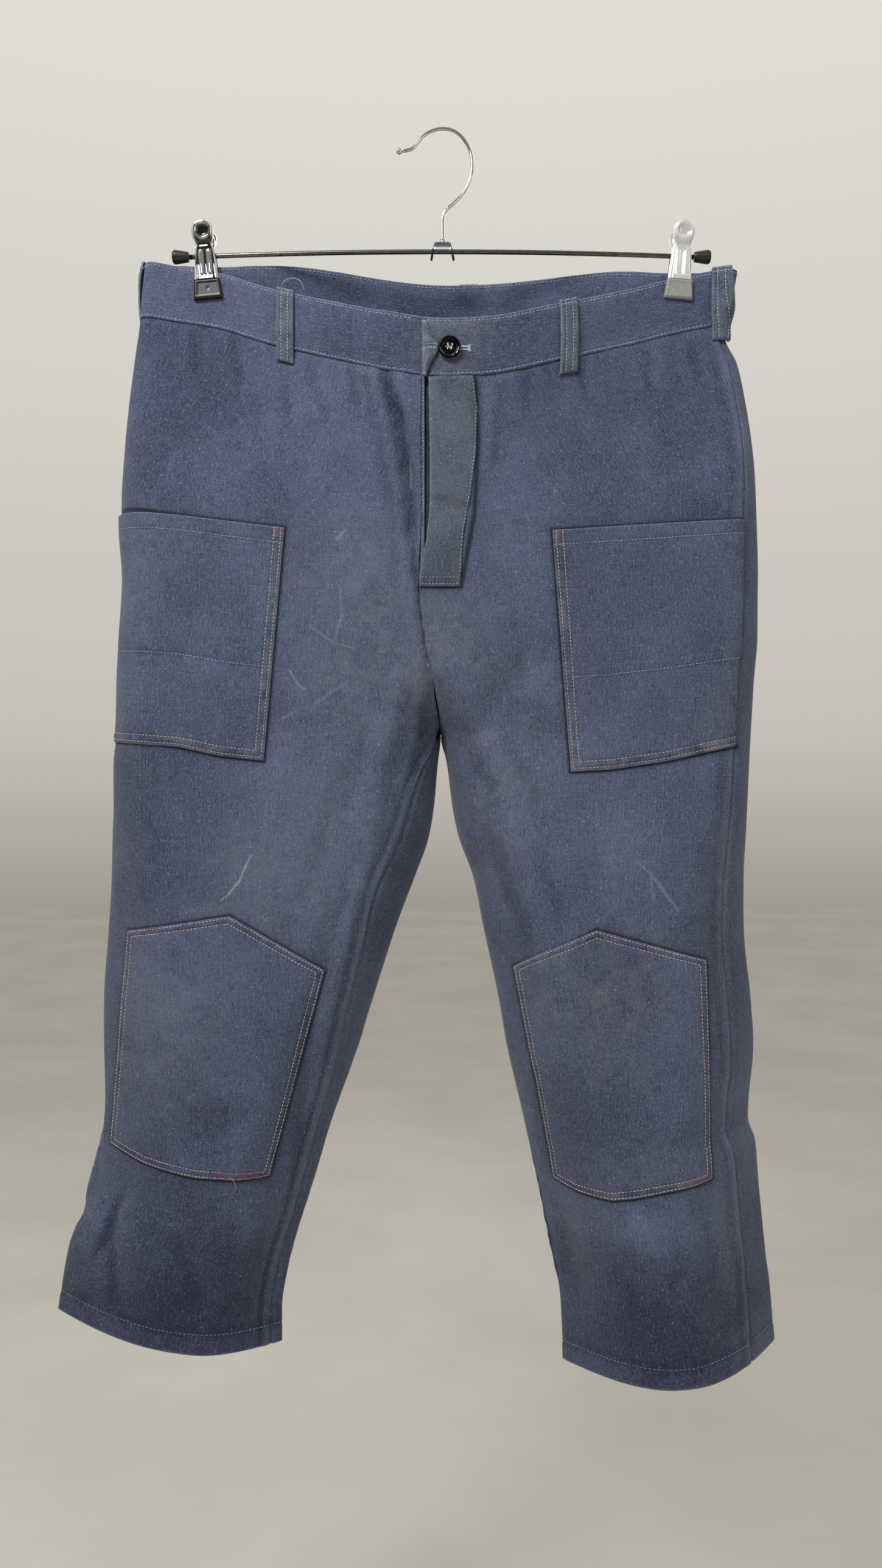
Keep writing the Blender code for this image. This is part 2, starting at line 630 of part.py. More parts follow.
def sweep(path, radii, sides):
    """Points and faces of a round bar along a path in the X-Z plane, with a radius at each point. A
    radius of 0 closes the end at a tip."""
    path = np.array(path, float)
    along = np.gradient(path, axis=0)
    along /= np.linalg.norm(along, axis=1, keepdims=True)
    verts, faces, rings = [], [], []
    for (x, z), (dx, dz), radius in zip(path, along, radii):
        ring = [len(verts) + i for i in range(1 if radius == 0 else sides)]
        for i in range(len(ring)):
            angle = 2 * math.pi * i / sides
            side = radius * math.cos(angle)
            verts.append((x - dz * side, radius * math.sin(angle), z + dx * side))
        rings.append(ring)
    for low, high in zip(rings, rings[1:]):
        for i in range(sides):
            k = (i + 1) % sides
            corners = [low[i % len(low)], low[k % len(low)], high[k % len(high)], high[i % len(high)]]
            faces.append(tuple(dict.fromkeys(corners))[::-1])
    for ring, turned in ((rings[0], False), (rings[-1], True)):
        if len(ring) > 1:
            faces.append(tuple(ring if not turned else ring[::-1]))
    return verts, faces


def bar_height(x):
    return BAR_Z - BAR_BOW * (x / BAR_ENDS[1]) ** 2


def add_hook():
    """The hook: bent wire with a ball at its tip and a collar where it meets the saddle."""
    steps = np.linspace(0, len(HOOK_PATH) - 1, 27)
    xs = smooth_path([p[0] for p in HOOK_PATH], steps)
    zs = smooth_path([p[1] for p in HOOK_PATH], steps)
    path = list(zip(xs, zs))
    radii = [WIRE / 2] * len(path)
    tip = np.array(path[0])
    away = tip - np.array(path[1])
    away /= np.linalg.norm(away)
    ball = [(math.cos(a), math.sin(a)) for a in np.radians((150, 120, 90, 60, 30))]
    ball_path = [tuple(tip + away * BALL * (0.9 - c)) for c, _ in ball][::-1]
    path = [tuple(tip + away * BALL * 1.9)] + ball_path + path[1:]
    radii = [0] + [BALL * s for _, s in ball] + radii[1:]
    collar = BRACKET_TOP + GAP
    path += [(0, collar + 2.2), (0, collar + 2.1), (0, collar)]
    radii += [WIRE / 2, 2.3, 2.3]
    verts, faces = sweep(path, radii, 6)
    add("hanger_hook", verts, faces, CHROME, 0.2, 1.0)


def smooth_path(values, steps):
    """Values along a path at fractional steps, rounded through every given value."""
    values = np.array(values, float)
    tangent = np.gradient(values)
    i = np.clip(steps.astype(int), 0, len(values) - 2)
    t = steps - i
    start = (1 + 2 * t) * (1 - t) ** 2 * values[i] + t * (1 - t) ** 2 * tangent[i]
    return start + t * t * (3 - 2 * t) * values[i + 1] + t * t * (t - 1) * tangent[i + 1]


def add_bar():
    """The bar and the tapered caps on its ends."""
    xs = np.linspace(*BAR_ENDS, 13)
    verts, faces = sweep([(x, bar_height(x)) for x in xs], [BAR_ACROSS / 2] * len(xs), 10)
    add("hanger_bar", verts, faces, CHROME, 0.22, 1.0)
    for name, end, way in (("bar_end_right", BAR_ENDS[0], -1), ("bar_end_left", BAR_ENDS[1], 1)):
        start = end + way * GAP
        z = bar_height(end)
        profile = ((0, 3.4), (0.6, 3.7), (CAP_LONG - 2.4, 5.2), (CAP_LONG - 0.6, 5.0), (CAP_LONG, 3.8))
        path = [(start + way * along, z) for along, _ in profile]
        radii = [radius for _, radius in profile]
        if way < 0:
            path, radii = path[::-1], radii[::-1]
        verts, faces = sweep(path, radii, 14)
        add(name, verts, faces, BLACK, 0.45)


def add_bracket():
    """The saddle: a plate over the bar with two legs, each pierced by the bar."""
    xs = (-7.1, -6.1, 6.1, 7.1)
    ys = (-4.2, -2.4, 2.4, 4.2)
    zs = (-97.4, BAR_Z - 2.5, BAR_Z + 2.5, BRACKET_TOP - 1.1, BRACKET_TOP)
    splay = 0.14
    filled = {(i, j, 3) for i in range(3) for j in range(3)}
    filled |= {(i, j, k) for i in (0, 2) for j in range(3) for k in range(3)}
    filled -= {(i, 1, 1) for i in (0, 2)}
    sides = (
        ((-1, 0, 0), ((0, 0, 0), (0, 0, 1), (0, 1, 1), (0, 1, 0))),
        ((1, 0, 0), ((1, 0, 0), (1, 1, 0), (1, 1, 1), (1, 0, 1))),
        ((0, -1, 0), ((0, 0, 0), (1, 0, 0), (1, 0, 1), (0, 0, 1))),
        ((0, 1, 0), ((0, 1, 0), (0, 1, 1), (1, 1, 1), (1, 1, 0))),
        ((0, 0, -1), ((0, 0, 0), (0, 1, 0), (1, 1, 0), (1, 0, 0))),
        ((0, 0, 1), ((0, 0, 1), (1, 0, 1), (1, 1, 1), (0, 1, 1))),
    )
    index, faces = {}, []
    for cell in sorted(filled):
        for way, corners in sides:
            if tuple(c + w for c, w in zip(cell, way)) in filled:
                continue
            keys = [tuple(c + k for c, k in zip(cell, corner)) for corner in corners]
            faces.append(tuple(index.setdefault(key, len(index)) for key in keys))
    verts = []
    for i, j, k in index:
        drop = BRACKET_TOP - zs[k]
        verts.append((xs[i] + math.copysign(splay * drop, xs[i]), ys[j], zs[k]))
    add("hanger_bracket", verts, faces, CHROME, 0.25, 1.0)


def jaw_outline():
    """Half widths of a clip's jaw up its height, as (height over the pad's top, half width)."""
    return ((0.3, 8.8), (6, 8.5), (12, 8.1), (18, 7.7), (23, 7.4), (27, 6.7), (29, 6.2), (31, 6.3),
            (34, 7.2), (38, 7.5), (41, 7.4), (44, 6.2), (46, 4.0), (46.9, 1.6))


def jaw_stand(height):
    """How far a jaw stands off the middle plane: nearest at the bar, splayed at the finger end."""
    return float(smooth(((0, 7.2), (14, 6.0), (24, 6.0), (34, 8.4), (47, 10.8)), height))


def add_clip(side, middle, lean):
    """A clip: two jaws sprung on the bar, with a pad at the foot of each."""
    pad_wide, pad_thick, pad_high = PAD
    grip = GRIP + 0.35
    steel = 1.0
    outline = jaw_outline()
    lean = math.radians(lean)

    def tilted(x, y, z):
        """A point of the upright clip, leaned about its pad."""
        dz = z - PAD_TOP
        return middle + x * math.cos(lean) + dz * math.sin(lean), y, PAD_TOP + dz * math.cos(lean) - x * math.sin(lean)

    for face, way in (("front", -1), ("back", 1)):
        across = (-1, 0, 1)
        flat = [(x * wide, height) for height, wide in outline for x in across]
        points = np.array([tilted(x, way * (jaw_stand(h) - steel), PAD_TOP + h) for x, h in flat])
        normals = np.tile([0, float(way), 0], (len(points), 1))
        sheet = points, normals, grid_faces(len(outline), len(across), False)
        jaw = add_cloth(f"{side}_clip_{face}", sheet, 0, steel, CHROME)
        shader = jaw.data.materials[0].node_tree.nodes["Principled BSDF"]
        shader.inputs["Roughness"].default_value = 0.15
        shader.inputs["Metallic"].default_value = 1.0
        half = pad_wide / 2
        near, far = grip, grip + pad_thick
        rim = ((-half + 1.3, 0), (half - 1.3, 0), (half, -pad_high + 0.6), (half - 0.7, -pad_high),
               (-half + 0.7, -pad_high), (-half, -pad_high + 0.6))
        pad_points = [tilted(x, way * near, PAD_TOP + z) for x, z in rim]
        pad_points += [tilted(x, way * far, PAD_TOP + z) for x, z in rim]
        count = len(rim)
        pad_faces = [tuple(range(count)), tuple(range(2 * count - 1, count - 1, -1))]
        pad_faces += [(i, i + count, (i + 1) % count + count, (i + 1) % count) for i in range(count)]
        if way < 0:
            pad_faces = [f[::-1] for f in pad_faces]
        add(f"{side}_pad_{face}", pad_points, pad_faces, BLACK, 0.5)

    across = middle + math.tan(lean) * (bar_height(middle) - PAD_TOP)
    bore, rim, length = BAR_ACROSS / 2 + GAP, 4.6, 9.0
    profile = [(bore, -length / 2), (rim, -length / 2), (rim, length / 2), (bore, length / 2)]
    sides = 14
    verts = []
    for radius, along in profile:
        for i in range(sides):
            angle = 2 * math.pi * i / sides
            x = across + along
            verts.append((x, radius * math.cos(angle), bar_height(x) + radius * math.sin(angle)))
    faces = []
    for ring in range(4):
        for i in range(sides):
            a, b = ring * sides, (ring + 1) % 4 * sides
            k = (i + 1) % sides
            faces.append((a + i, b + i, b + k, a + k))
    add(f"{side}_clip_spring", verts, faces, CHROME, 0.3, 1.0)


def main():
    for old in list(bpy.data.objects):
        bpy.data.objects.remove(old, do_unlink=True)
    add_panels()
    add_waistband()
    add_fly_underlap()
    add_waistband_end()
    add_loops()
    add_button()
    add_hook()
    add_bar()
    add_bracket()
    add_clip("right", -CLIP_X, -CLIP_LEAN)
    add_clip("left", CLIP_X, CLIP_LEAN)


main()
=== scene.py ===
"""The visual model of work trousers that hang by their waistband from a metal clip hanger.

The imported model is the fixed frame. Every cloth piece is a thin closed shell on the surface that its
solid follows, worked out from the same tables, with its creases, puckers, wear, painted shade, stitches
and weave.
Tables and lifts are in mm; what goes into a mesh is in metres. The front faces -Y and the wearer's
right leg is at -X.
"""

import math

import bmesh
import bpy
import numpy as np
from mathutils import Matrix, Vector


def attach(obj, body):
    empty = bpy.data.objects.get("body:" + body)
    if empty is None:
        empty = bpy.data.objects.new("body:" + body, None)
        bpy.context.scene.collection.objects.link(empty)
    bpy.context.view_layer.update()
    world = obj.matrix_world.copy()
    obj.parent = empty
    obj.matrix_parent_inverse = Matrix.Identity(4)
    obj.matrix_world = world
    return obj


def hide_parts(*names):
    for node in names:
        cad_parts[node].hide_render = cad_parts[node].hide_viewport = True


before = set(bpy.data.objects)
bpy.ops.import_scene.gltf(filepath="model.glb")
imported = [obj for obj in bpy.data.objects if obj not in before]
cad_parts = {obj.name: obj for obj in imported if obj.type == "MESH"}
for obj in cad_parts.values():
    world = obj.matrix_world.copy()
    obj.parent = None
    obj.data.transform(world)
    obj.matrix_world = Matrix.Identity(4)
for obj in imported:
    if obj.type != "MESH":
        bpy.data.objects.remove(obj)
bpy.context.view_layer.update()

MM = 0.001

# Driving sizes, in mm
CLOTH = 1.5  # wall of a panel
BAND_CLOTH = 2.4  # wall of the folded waistband
PATCH_CLOTH = 1.3  # wall of a pocket, patch or placket
GAP = 0.3  # between pieces that are sewn together
BAND_TOP = 100  # level of the waistband's top edge
SEAM = 142  # level where the panels hang from the waistband
FORK = 456  # level where the two legs part
FORK_RISE = 72  # height over which the fork's valley forms
HIP_LEVEL = 300  # from here down the clips no longer flatten the cloth
CLIP_X = 178  # from the middle to each clip
GRIP = 4.0  # half the thickness of the waist between the clips' pads
WAIST_BULGE = 38  # how far the waistband stands off the middle plane, over the grip
FLY_FOOT = -352  # height of the fly's lowest stitches
TUCKED = 4.0  # how far a panel runs up under the waistband
SEAM_UNDER = 3.4  # how far a back panel runs under the front one at a seam
WEAVE_STEP = 3.4  # between the rows and columns of a panel's mesh
SEWN_STEP = 3.2  # the same for a pocket or knee patch
FLARE_WIDTH = 70  # how far in from the leg's edge the flare reaches

# One row for each level of a leg: where its outer and inner edge lie across, and how deep and how
# rounded it is. Above the fork the inner edge is the centre seam, at the front and at the back. The
# crease goes from 0, round at the edges, to 1, where the front and back meet in a fold.
COLUMNS = ("level", "outer", "inner", "back_inner", "front", "back", "side_round", "inner_round", "crease")
RIGHT_ROWS = (
    (100, -224.5, -15.2, 12.0, 42, 38, 8, 30, 0),
    (142, -228.0, -15.2, 12.0, 42, 38, 9, 30, 0),
    (177, -232.5, -15.3, 11.0, 43, 38, 14, 30, 0),
    (214, -236.5, -15.3, 10.0, 44, 38, 20, 30, 0),
    (251, -238.8, -15.3, 9.0, 45, 38, 25, 30, 0),
    (285, -240.0, -15.5, 8.0, 46, 38, 28, 30, 0),
    (345, -238.0, -17.2, 6.0, 46, 38, 32, 32, 0),
    (386, -240.5, -14.0, 4.0, 46, 38, 34, 34, 0),
    (417, -242.5, -8.0, 1.5, 46, 38, 35, 36, 0),
    (441, -243.2, -3.2, -0.5, 46, 37, 36, 38, 0),
    (456, -244.2, -1.4, -1.4, 46, 36, 36, 40, 0),
    (480, -246.8, -4.0, -4.0, 46, 35, 38, 42, 0.05),
    (510, -247.4, -6.5, -6.5, 45, 34, 42, 44, 0.1),
    (533, -248.6, -10.2, -10.2, 44, 33, 46, 46, 0.15),
    (563, -249.5, -20.6, -20.6, 43, 32, 50, 48, 0.25),
    (600, -251.6, -34.5, -34.5, 42, 31, 58, 50, 0.4),
    (655, -255.1, -53.0, -53.0, 42, 30, 68, 54, 0.55),
    (692, -255.7, -65.2, -65.2, 41, 29, 74, 56, 0.65),
    (735, -255.0, -81.0, -81.0, 41, 29, 80, 58, 0.75),
    (766, -257.0, -91.0, -91.0, 41, 28, 84, 60, 0.8),
    (803, -260.0, -103.0, -103.0, 41, 27, 86, 62, 0.85),
    (822, -267.5, -109.5, -109.5, 41, 27, 88, 62, 0.87),
    (840, -278.5, -114.5, -114.5, 41, 26, 92, 64, 0.9),
    (876, -286.6, -120.5, -120.5, 42, 26, 96, 65, 0.92),
    (902, -290.6, -121.0, -121.0, 42, 26, 98, 65, 0.93),
)
LEFT_ROWS = (
    (100, 222.5, -14.3, 12.0, 42, 38, 8, 30, 0),
    (122, 218.0, -13.0, 12.0, 42, 38, 8, 30, 0),
    (142, 212.6, -10.6, 12.0, 42, 38, 9, 30, 0),
    (153, 214.2, -10.3, 11.5, 42, 38, 10, 30, 0),
    (172, 222.6, -10.0, 11.0, 43, 38, 14, 30, 0),
    (214, 229.5, -9.6, 10.0, 44, 38, 20, 30, 0),
    (251, 233.2, -9.6, 9.0, 45, 38, 25, 30, 0),
    (285, 234.6, -11.0, 8.0, 46, 38, 28, 30, 0),
    (345, 236.4, -16.9, 6.0, 46, 38, 32, 32, 0),
    (386, 236.2, -13.7, 4.0, 46, 38, 34, 34, 0),
    (417, 233.5, -7.7, 1.5, 46, 38, 35, 36, 0),
    (441, 232.0, -2.9, -0.5, 46, 37, 36, 38, 0),
    (456, 231.0, -1.1, -1.1, 46, 36, 36, 40, 0),
    (480, 229.8, 3.4, 3.4, 48, 36, 38, 42, 0.05),
    (510, 228.6, 7.4, 7.4, 49, 36, 42, 46, 0.1),
    (533, 227.6, 12.3, 12.3, 50, 35, 46, 49, 0.15),
    (563, 226.2, 23.0, 23.0, 51, 34, 50, 52, 0.25),
    (600, 226.8, 30.4, 30.4, 53, 33, 56, 56, 0.4),
    (655, 232.6, 42.3, 42.3, 55, 32, 62, 62, 0.55),
    (692, 234.8, 49.0, 49.0, 57, 31, 66, 66, 0.65),
    (735, 231.3, 59.2, 59.2, 58, 30, 68, 68, 0.75),
    (748, 230.8, 62.3, 62.3, 58, 30, 69, 69, 0.78),
    (766, 236.1, 66.4, 66.4, 59, 30, 70, 71, 0.8),
    (803, 239.3, 74.6, 74.6, 60, 29, 72, 75, 0.85),
    (840, 243.1, 82.0, 82.0, 61, 28, 74, 77, 0.9),
    (876, 246.8, 88.3, 88.3, 62, 28, 76, 77, 0.92),
    (920, 251.0, 90.2, 90.2, 62, 28, 78, 78, 0.93),
)

# How far the seams show in from the leg's edge: over the front if positive, behind if negative
RIGHT_OUTSEAM = ((100, -4), (142, -5), (200, -8), (902, -10))
RIGHT_INSEAM = (
    (456, 0), (480, 9), (500, 16), (545, 23), (567, 25), (622, 18), (660, 16), (729, 10), (817, 8), (902, 8),
)
# The left outseam lies further over the front than on the solids, where the photograph shows it
LEFT_OUTSEAM = ((100, 2), (142, 5), (180, 10), (231, 13.4), (300, 18.5), (345, 20), (406, 21), (467, 20),
                (560, 22), (650, 25), (835, 23), (920, 26))
LEFT_INSEAM = ((456, 0), (500, -6), (560, -8), (920, -9))

# How far the waistline hangs below its level across the front and the back
FRONT_SAG = ((-228, 0), (-167, 9), (-127, 23), (-84, 38), (-46, 49.5), (0, 57.5), (26, 56), (91, 38),
             (127, 26), (169, 14), (208, 7), (222, 6.5))
BACK_SAG = ((-228, 0), (-167, 2), (-99, -3), (0, 1.5), (118, 3), (170, 6.5), (222, 6.5))
SAG_FADES = 260  # the sag is gone this far below the seam

# The back of the right leg flares past its front below the knee
RIGHT_FLARE = ((742, 0), (766, 8), (785, 13), (806, 17), (822, 12.5), (836, 5), (850, 0))

# Broad folds of each leg's front and back: from the first point to the second, over this width, so deep
# into the cloth
FOLD_COLUMNS = ("x0", "level0", "x1", "level1", "width", "depth")
FOLDS = {
    ("right", "front"): (
        (-40, 150, -20, 300, 8, 6),
        (-60, 470, -100, 590, 12, 4),
        (-70, 560, -118, 760, 11, 5),
        (-200, 800, -180, 880, 14, 4),
        (-240, 500, -236, 640, 14, 3),
        (-70, 395, -26, 455, 14, 4),
    ),
    ("left", "front"): (
        (30, 150, 26, 210, 6, 3),
        (30, 540, 62, 680, 11, 5),
        (66, 700, 96, 860, 12, 4),
        (196, 560, 200, 760, 12, 4),
        (190, 800, 200, 900, 13, 5),
        (60, 400, 20, 470, 14, 4),
    ),
    ("right", "back"): (
        (-120, 460, -150, 700, 18, 7),
        (-90, 360, -20, 440, 16, 6),
    ),
    ("left", "back"): (
        (120, 460, 150, 700, 18, 7),
        (90, 360, 20, 440, 16, 6),
    ),
}

# What is sewn on the front panels: the corners of its top and of its foot, as (x, z) from the leg's outer
# side inward. An x of None is the panel's own edge, where a pocket ends with the panel.
RIGHT_POCKET = (
    ((None, -292.2), (-190.0, -301.0), (-113.3, -309.9)),
    ((None, -459.4), (-190.0, -467.0), (-160.0, -473.6), (-128.2, -477.0)),
)
LEFT_POCKET = (
    ((None, -303.6), (78.7, -311.6)),
    ((None, -466.0), (160.0, -477.5), (120.0, -483.4), (91.8, -484.9)),
)
RIGHT_KNEE = (
    ((-230.0, -600.8), (-153.5, -588.7), (-85.6, -628.6)),
    ((-248.0, -761.5), (-219.0, -770.5), (-178.5, -777.6), (-150.0, -779.6), (-126.8, -779.0)),
)
LEFT_KNEE = (
    ((188.2, -619.5), (109.4, -597.5), (52.4, -627.0)),
    ((192.0, -774.7), (157.0, -782.0), (120.5, -789.6), (99.0, -788.6), (83.0, -785.0)),
)
PLACKET = (((21.8, -199.0), (None, -200.4)), ((12.8, FLY_FOOT), (None, FLY_FOOT)))

PLACKET_CREASE = 98  # how far down the placket its one crease lies
OPENING = (-16, -11)  # the fly's opening lies between these, as x
UNDERLAP_ROW_X = -13.9  # where the underlap's stitches run, and how low they show
UNDERLAP_ROW_FOOT = -299
BAR_ROWS = (7.4, 1.6)  # how far up from its foot the rows of its bar of stitches are

# How far the placket's folded edge bends aside, at each distance down it
PLACKET_BEND = ((0, 0), (14, -3.2), (27, -5.6), (56, -5.5), (88, -3.8), (106, -1.6), (122, 0), (154, 0))

# Where a pocket's top and foot reach the leg's edge in the front view
RIGHT_POCKET_ENDS = ((-242.0, -293.0), (-238.0, -459.6))
LEFT_POCKET_ENDS = ((216.0, -304.0), (212.0, -466.5))

# Belt loops: the middle of each along the cloth or across the front, and its width
LOOP_WIDTH = 14.5
LOOP_PAST_SEAM = 12  # how far a loop runs below the waistband
LOOP_FOOT = 0.7  # how far its sewn ends stand off
LOOP_ABOVE = 1.5  # how far its top is folded over the waistband's
LOOP_ROW = 3.3  # from its middle to each row of stitches
LOOP_COLUMNS = ("name", "half", "face", "x", "stands_off")
LOOPS = (
    ("loop_right_side", "right", "back", -221.0, 3.0),
    ("loop_right_front", "right", "front", -116.5, 1.6),
    ("loop_left_front", "left", "front", 92.0, 1.6),
    ("loop_left_side", "left", "front", 209.5, 3.0),
    ("loop_back", "left", "back", 20.5, 1.6),
)

# Hanger
WIRE = 2.9  # hook wire, across
BAR_ACROSS = 3.6
BAR_Z = -91.5  # middle of the bar at its centre
BAR_BOW = 4.0  # how far its ends hang lower
BAR_ENDS = (-191, 189.5)
CAP_LONG = 12.5
HOOK_PATH = (  # x and z of the wire's middle, from the tip to the stem
    (-30.4, -15.4), (-26.4, -14.8), (-22.4, -13.2), (-18.4, -8.6), (-15.0, -4.6), (-9.0, -0.6),
    (-1.0, 1.45), (7.5, 0.2), (14.8, -5.0), (20.0, -13.4), (22.2, -22.6), (22.0, -31.6), (19.6, -40.0),
    (15.2, -47.6), (9.2, -54.2), (3.6, -59.2), (0.8, -63.2), (0, -68.0), (0, -76.0), (0, -82.6),
)
BALL = 2.5  # radius of the ball at the hook's tip
COLLAR = (  # radius and height of the rivet at the hook's foot
    (1.45, 3.4), (2.0, 3.3), (2.35, 3.0), (2.35, 1.6), (2.2, 1.4), (2.6, 1.2), (2.75, 0.7), (2.6, 0.1),
)
BRACKET_TOP = -85.4
BRACKET_FOOT = -97.3
BRACKET_STRIP = (1.0, 8.2)  # its thickness and its depth
DIPPED = 0.22  # thickness of the black on its feet
PAD = (21.5, 3.6, 14.4)  # width, thickness, height
PAD_TOP = -115.0
CLIP_LEAN = 5  # degrees that the clips lean outward
RIGHT_CLIP_SHIFT = 1.1  # how much nearer the middle the right clip is than the left
JAW = (  # height over the pad and half width
    (0.3, 8.8), (6, 8.5), (12, 8.1), (18, 7.7), (23, 7.4), (27, 6.7), (29, 6.2), (31, 6.3), (34, 7.2),
    (38, 7.5), (41, 7.4), (44, 6.2), (46, 4.0), (46.9, 1.6),
)
JAW_STAND = ((0, 7.2), (14, 6.0), (24, 6.0), (34, 8.4), (47, 10.8))  # height, and how far it stands off
JAW_WALL = 0.95
HEAD_AT = 39.2  # height of the middle of a jaw's round finger end
HEAD_ROUND = (39.4, 7.5)  # from this height up the end is an arc of this radius
HEAD_DROP = 0.925  # a jaw's real height, as a share of its height in these tables
SPRING = (3.1, 0.55, 8.4, 7)  # radius, wire radius, length and turns of a coil

# Button
BUTTON_AT = (4.9, -180.0)  # x and z of its middle
BUTTON_PROFILE = (  # radius and height over the cloth
    (0, 0), (3.2, 0), (3.2, 1.8), (7.4, 2.0), (8.2, 2.7), (7.9, 3.7), (6.9, 4.2), (6.0, 3.4), (5.0, 2.7),
    (4.4, 3.1), (3.7, 4.2), (2.4, 4.9), (1.3, 4.3), (0, 4.6),
)
BUTTON_LEVEL = SEAM - 21.0  # level of the cloth behind it
BUTTONHOLE = (11.6, 18.6)  # from and to this x
BUTTONHOLE_TACK = (18.0, 20.6)  # the bar of stitches at its end
END_LEFT, END_TIP = -14.6, -1.6  # the band's folded end, from its fold to its point under the button
END_TOP, END_FOOT, END_MIDDLE = -160.5, -199.8, -179.8
END_NARROW = 3.0  # its width at its top and foot
END_CREASES = 7.0  # how close its creases fan out: their turns for each turn round the button

# Camera: the photograph's frame is 1449 x 2576, with 0.46 mm to a pixel at the cloth's middle plane
FRAME_LONG = 2576
CAMERA_AT = (-0.00115, -0.895, -0.4936)
FOCAL_PIXELS = 1946
FLOOR_Z = -1.42

# Stitch rows, measured in from an edge
BAND_TOP_ROW = 2.4
BAND_FOOT_ROW = 1.9
POCKET_ROWS = (2.1, 6.7)
KNEE_ROWS = (1.6, 5.6)
HEM_ROW = 14.6

# Fine creases of each leg's front and back, from the first point to the second, as (x, z). A valley
# sinks and a ridge, whose depth is negative, rises.
CREASE_COLUMNS = ("x0", "z0", "x1", "z1", "width", "depth")
CREASES = {
    ("right", "front"): (
        (-42, -193, -32, -234, 3.8, 5.0),
        (-34, -218, -26, -278, 3.8, 4.6),
        (-27, -262, -21, -318, 3.6, 3.8),
        (-23, -300, -19, -350, 3.2, 2.0),
        (-51, -190, -38, -240, 4.4, -2.2),
        (-40, -228, -30, -290, 4.4, -1.8),
        (-32, -276, -23, -345, 4.2, -1.6),
        (-20, -325, -12, -402, 5.0, 2.4),
        (-9, -425, -22, -505, 6.0, 2.0),
        (-24, -430, -46, -540, 7.0, 1.6),
        (-36, -420, -62, -520, 6.0, -1.1),
        (-46, -545, -70, -640, 5.0, 1.5),
        (-58, -560, -92, -690, 7.0, -1.3),
        (-100, -184, -84, -228, 5.0, 1.0),
        (-112, -186, -104, -236, 4.5, -0.8),
        (-158, -160, -150, -196, 4.0, 0.9),
        (-186, -152, -184, -184, 4.0, 0.8),
        (-66, -186, -62, -220, 4.5, 0.9),
        (-248, -812, -240, -870, 7.0, 1.8),
        (-238, -798, -262, -846, 6.0, 2.4),
        (-140, -800, -146, -868, 9.0, -1.2),
        (-196, -822, -176, -872, 9.0, 1.3),
        (-98, -700, -112, -800, 6.0, 1.3),
    ),
    ("left", "front"): (
        (26, -206, 23, -252, 4.0, 1.3),
        (33, -204, 28, -262, 5.0, -0.8),
        (14, -462, 40, -506, 7.0, 1.7),
        (26, -455, 58, -506, 7.0, -1.3),
        (34, -530, 62, -610, 7.0, 1.6),
        (52, -540, 76, -600, 8.0, -1.2),
        (66, -700, 78, -780, 7.0, 1.2),
        (86, -800, 98, -880, 8.0, 1.3),
        (132, -800, 160, -842, 12.0, -1.4),
        (118, -836, 140, -872, 10.0, 1.0),
        (196, -790, 206, -850, 7.0, -1.1),
        (208, -800, 217, -870, 6.0, 1.6),
        (100, -184, 108, -214, 4.5, 0.9),
        (150, -166, 154, -200, 4.5, 0.9),
        (186, -162, 190, -196, 4.0, 0.8),
        (62, -190, 60, -222, 4.5, 0.8),
    ),
    ("right", "back"): (
        (-30, -190, -60, -300, 8.0, 1.8),
        (-52, -340, -20, -440, 9.0, 2.2),
        (-90, -360, -36, -452, 10.0, -1.8),
        (-60, -470, -120, -590, 9.0, 2.0),
        (-150, -600, -200, -655, 9.0, 2.2),
        (-110, -628, -190, -690, 8.0, 1.8),
        (-120, -600, -200, -640, 8.0, -1.6),
        (-160, -780, -170, -880, 12.0, 2.0),
    ),
    ("left", "back"): (
        (34, -190, 64, -300, 8.0, 1.8),
        (52, -340, 20, -440, 9.0, 2.2),
        (90, -360, 36, -452, 10.0, -1.8),
        (60, -470, 110, -590, 9.0, 2.0),
        (130, -600, 190, -650, 9.0, 2.2),
        (90, -632, 170, -690, 8.0, 1.8),
        (100, -606, 190, -640, 8.0, -1.6),
        (140, -780, 152, -890, 12.0, 2.0),
    ),
}
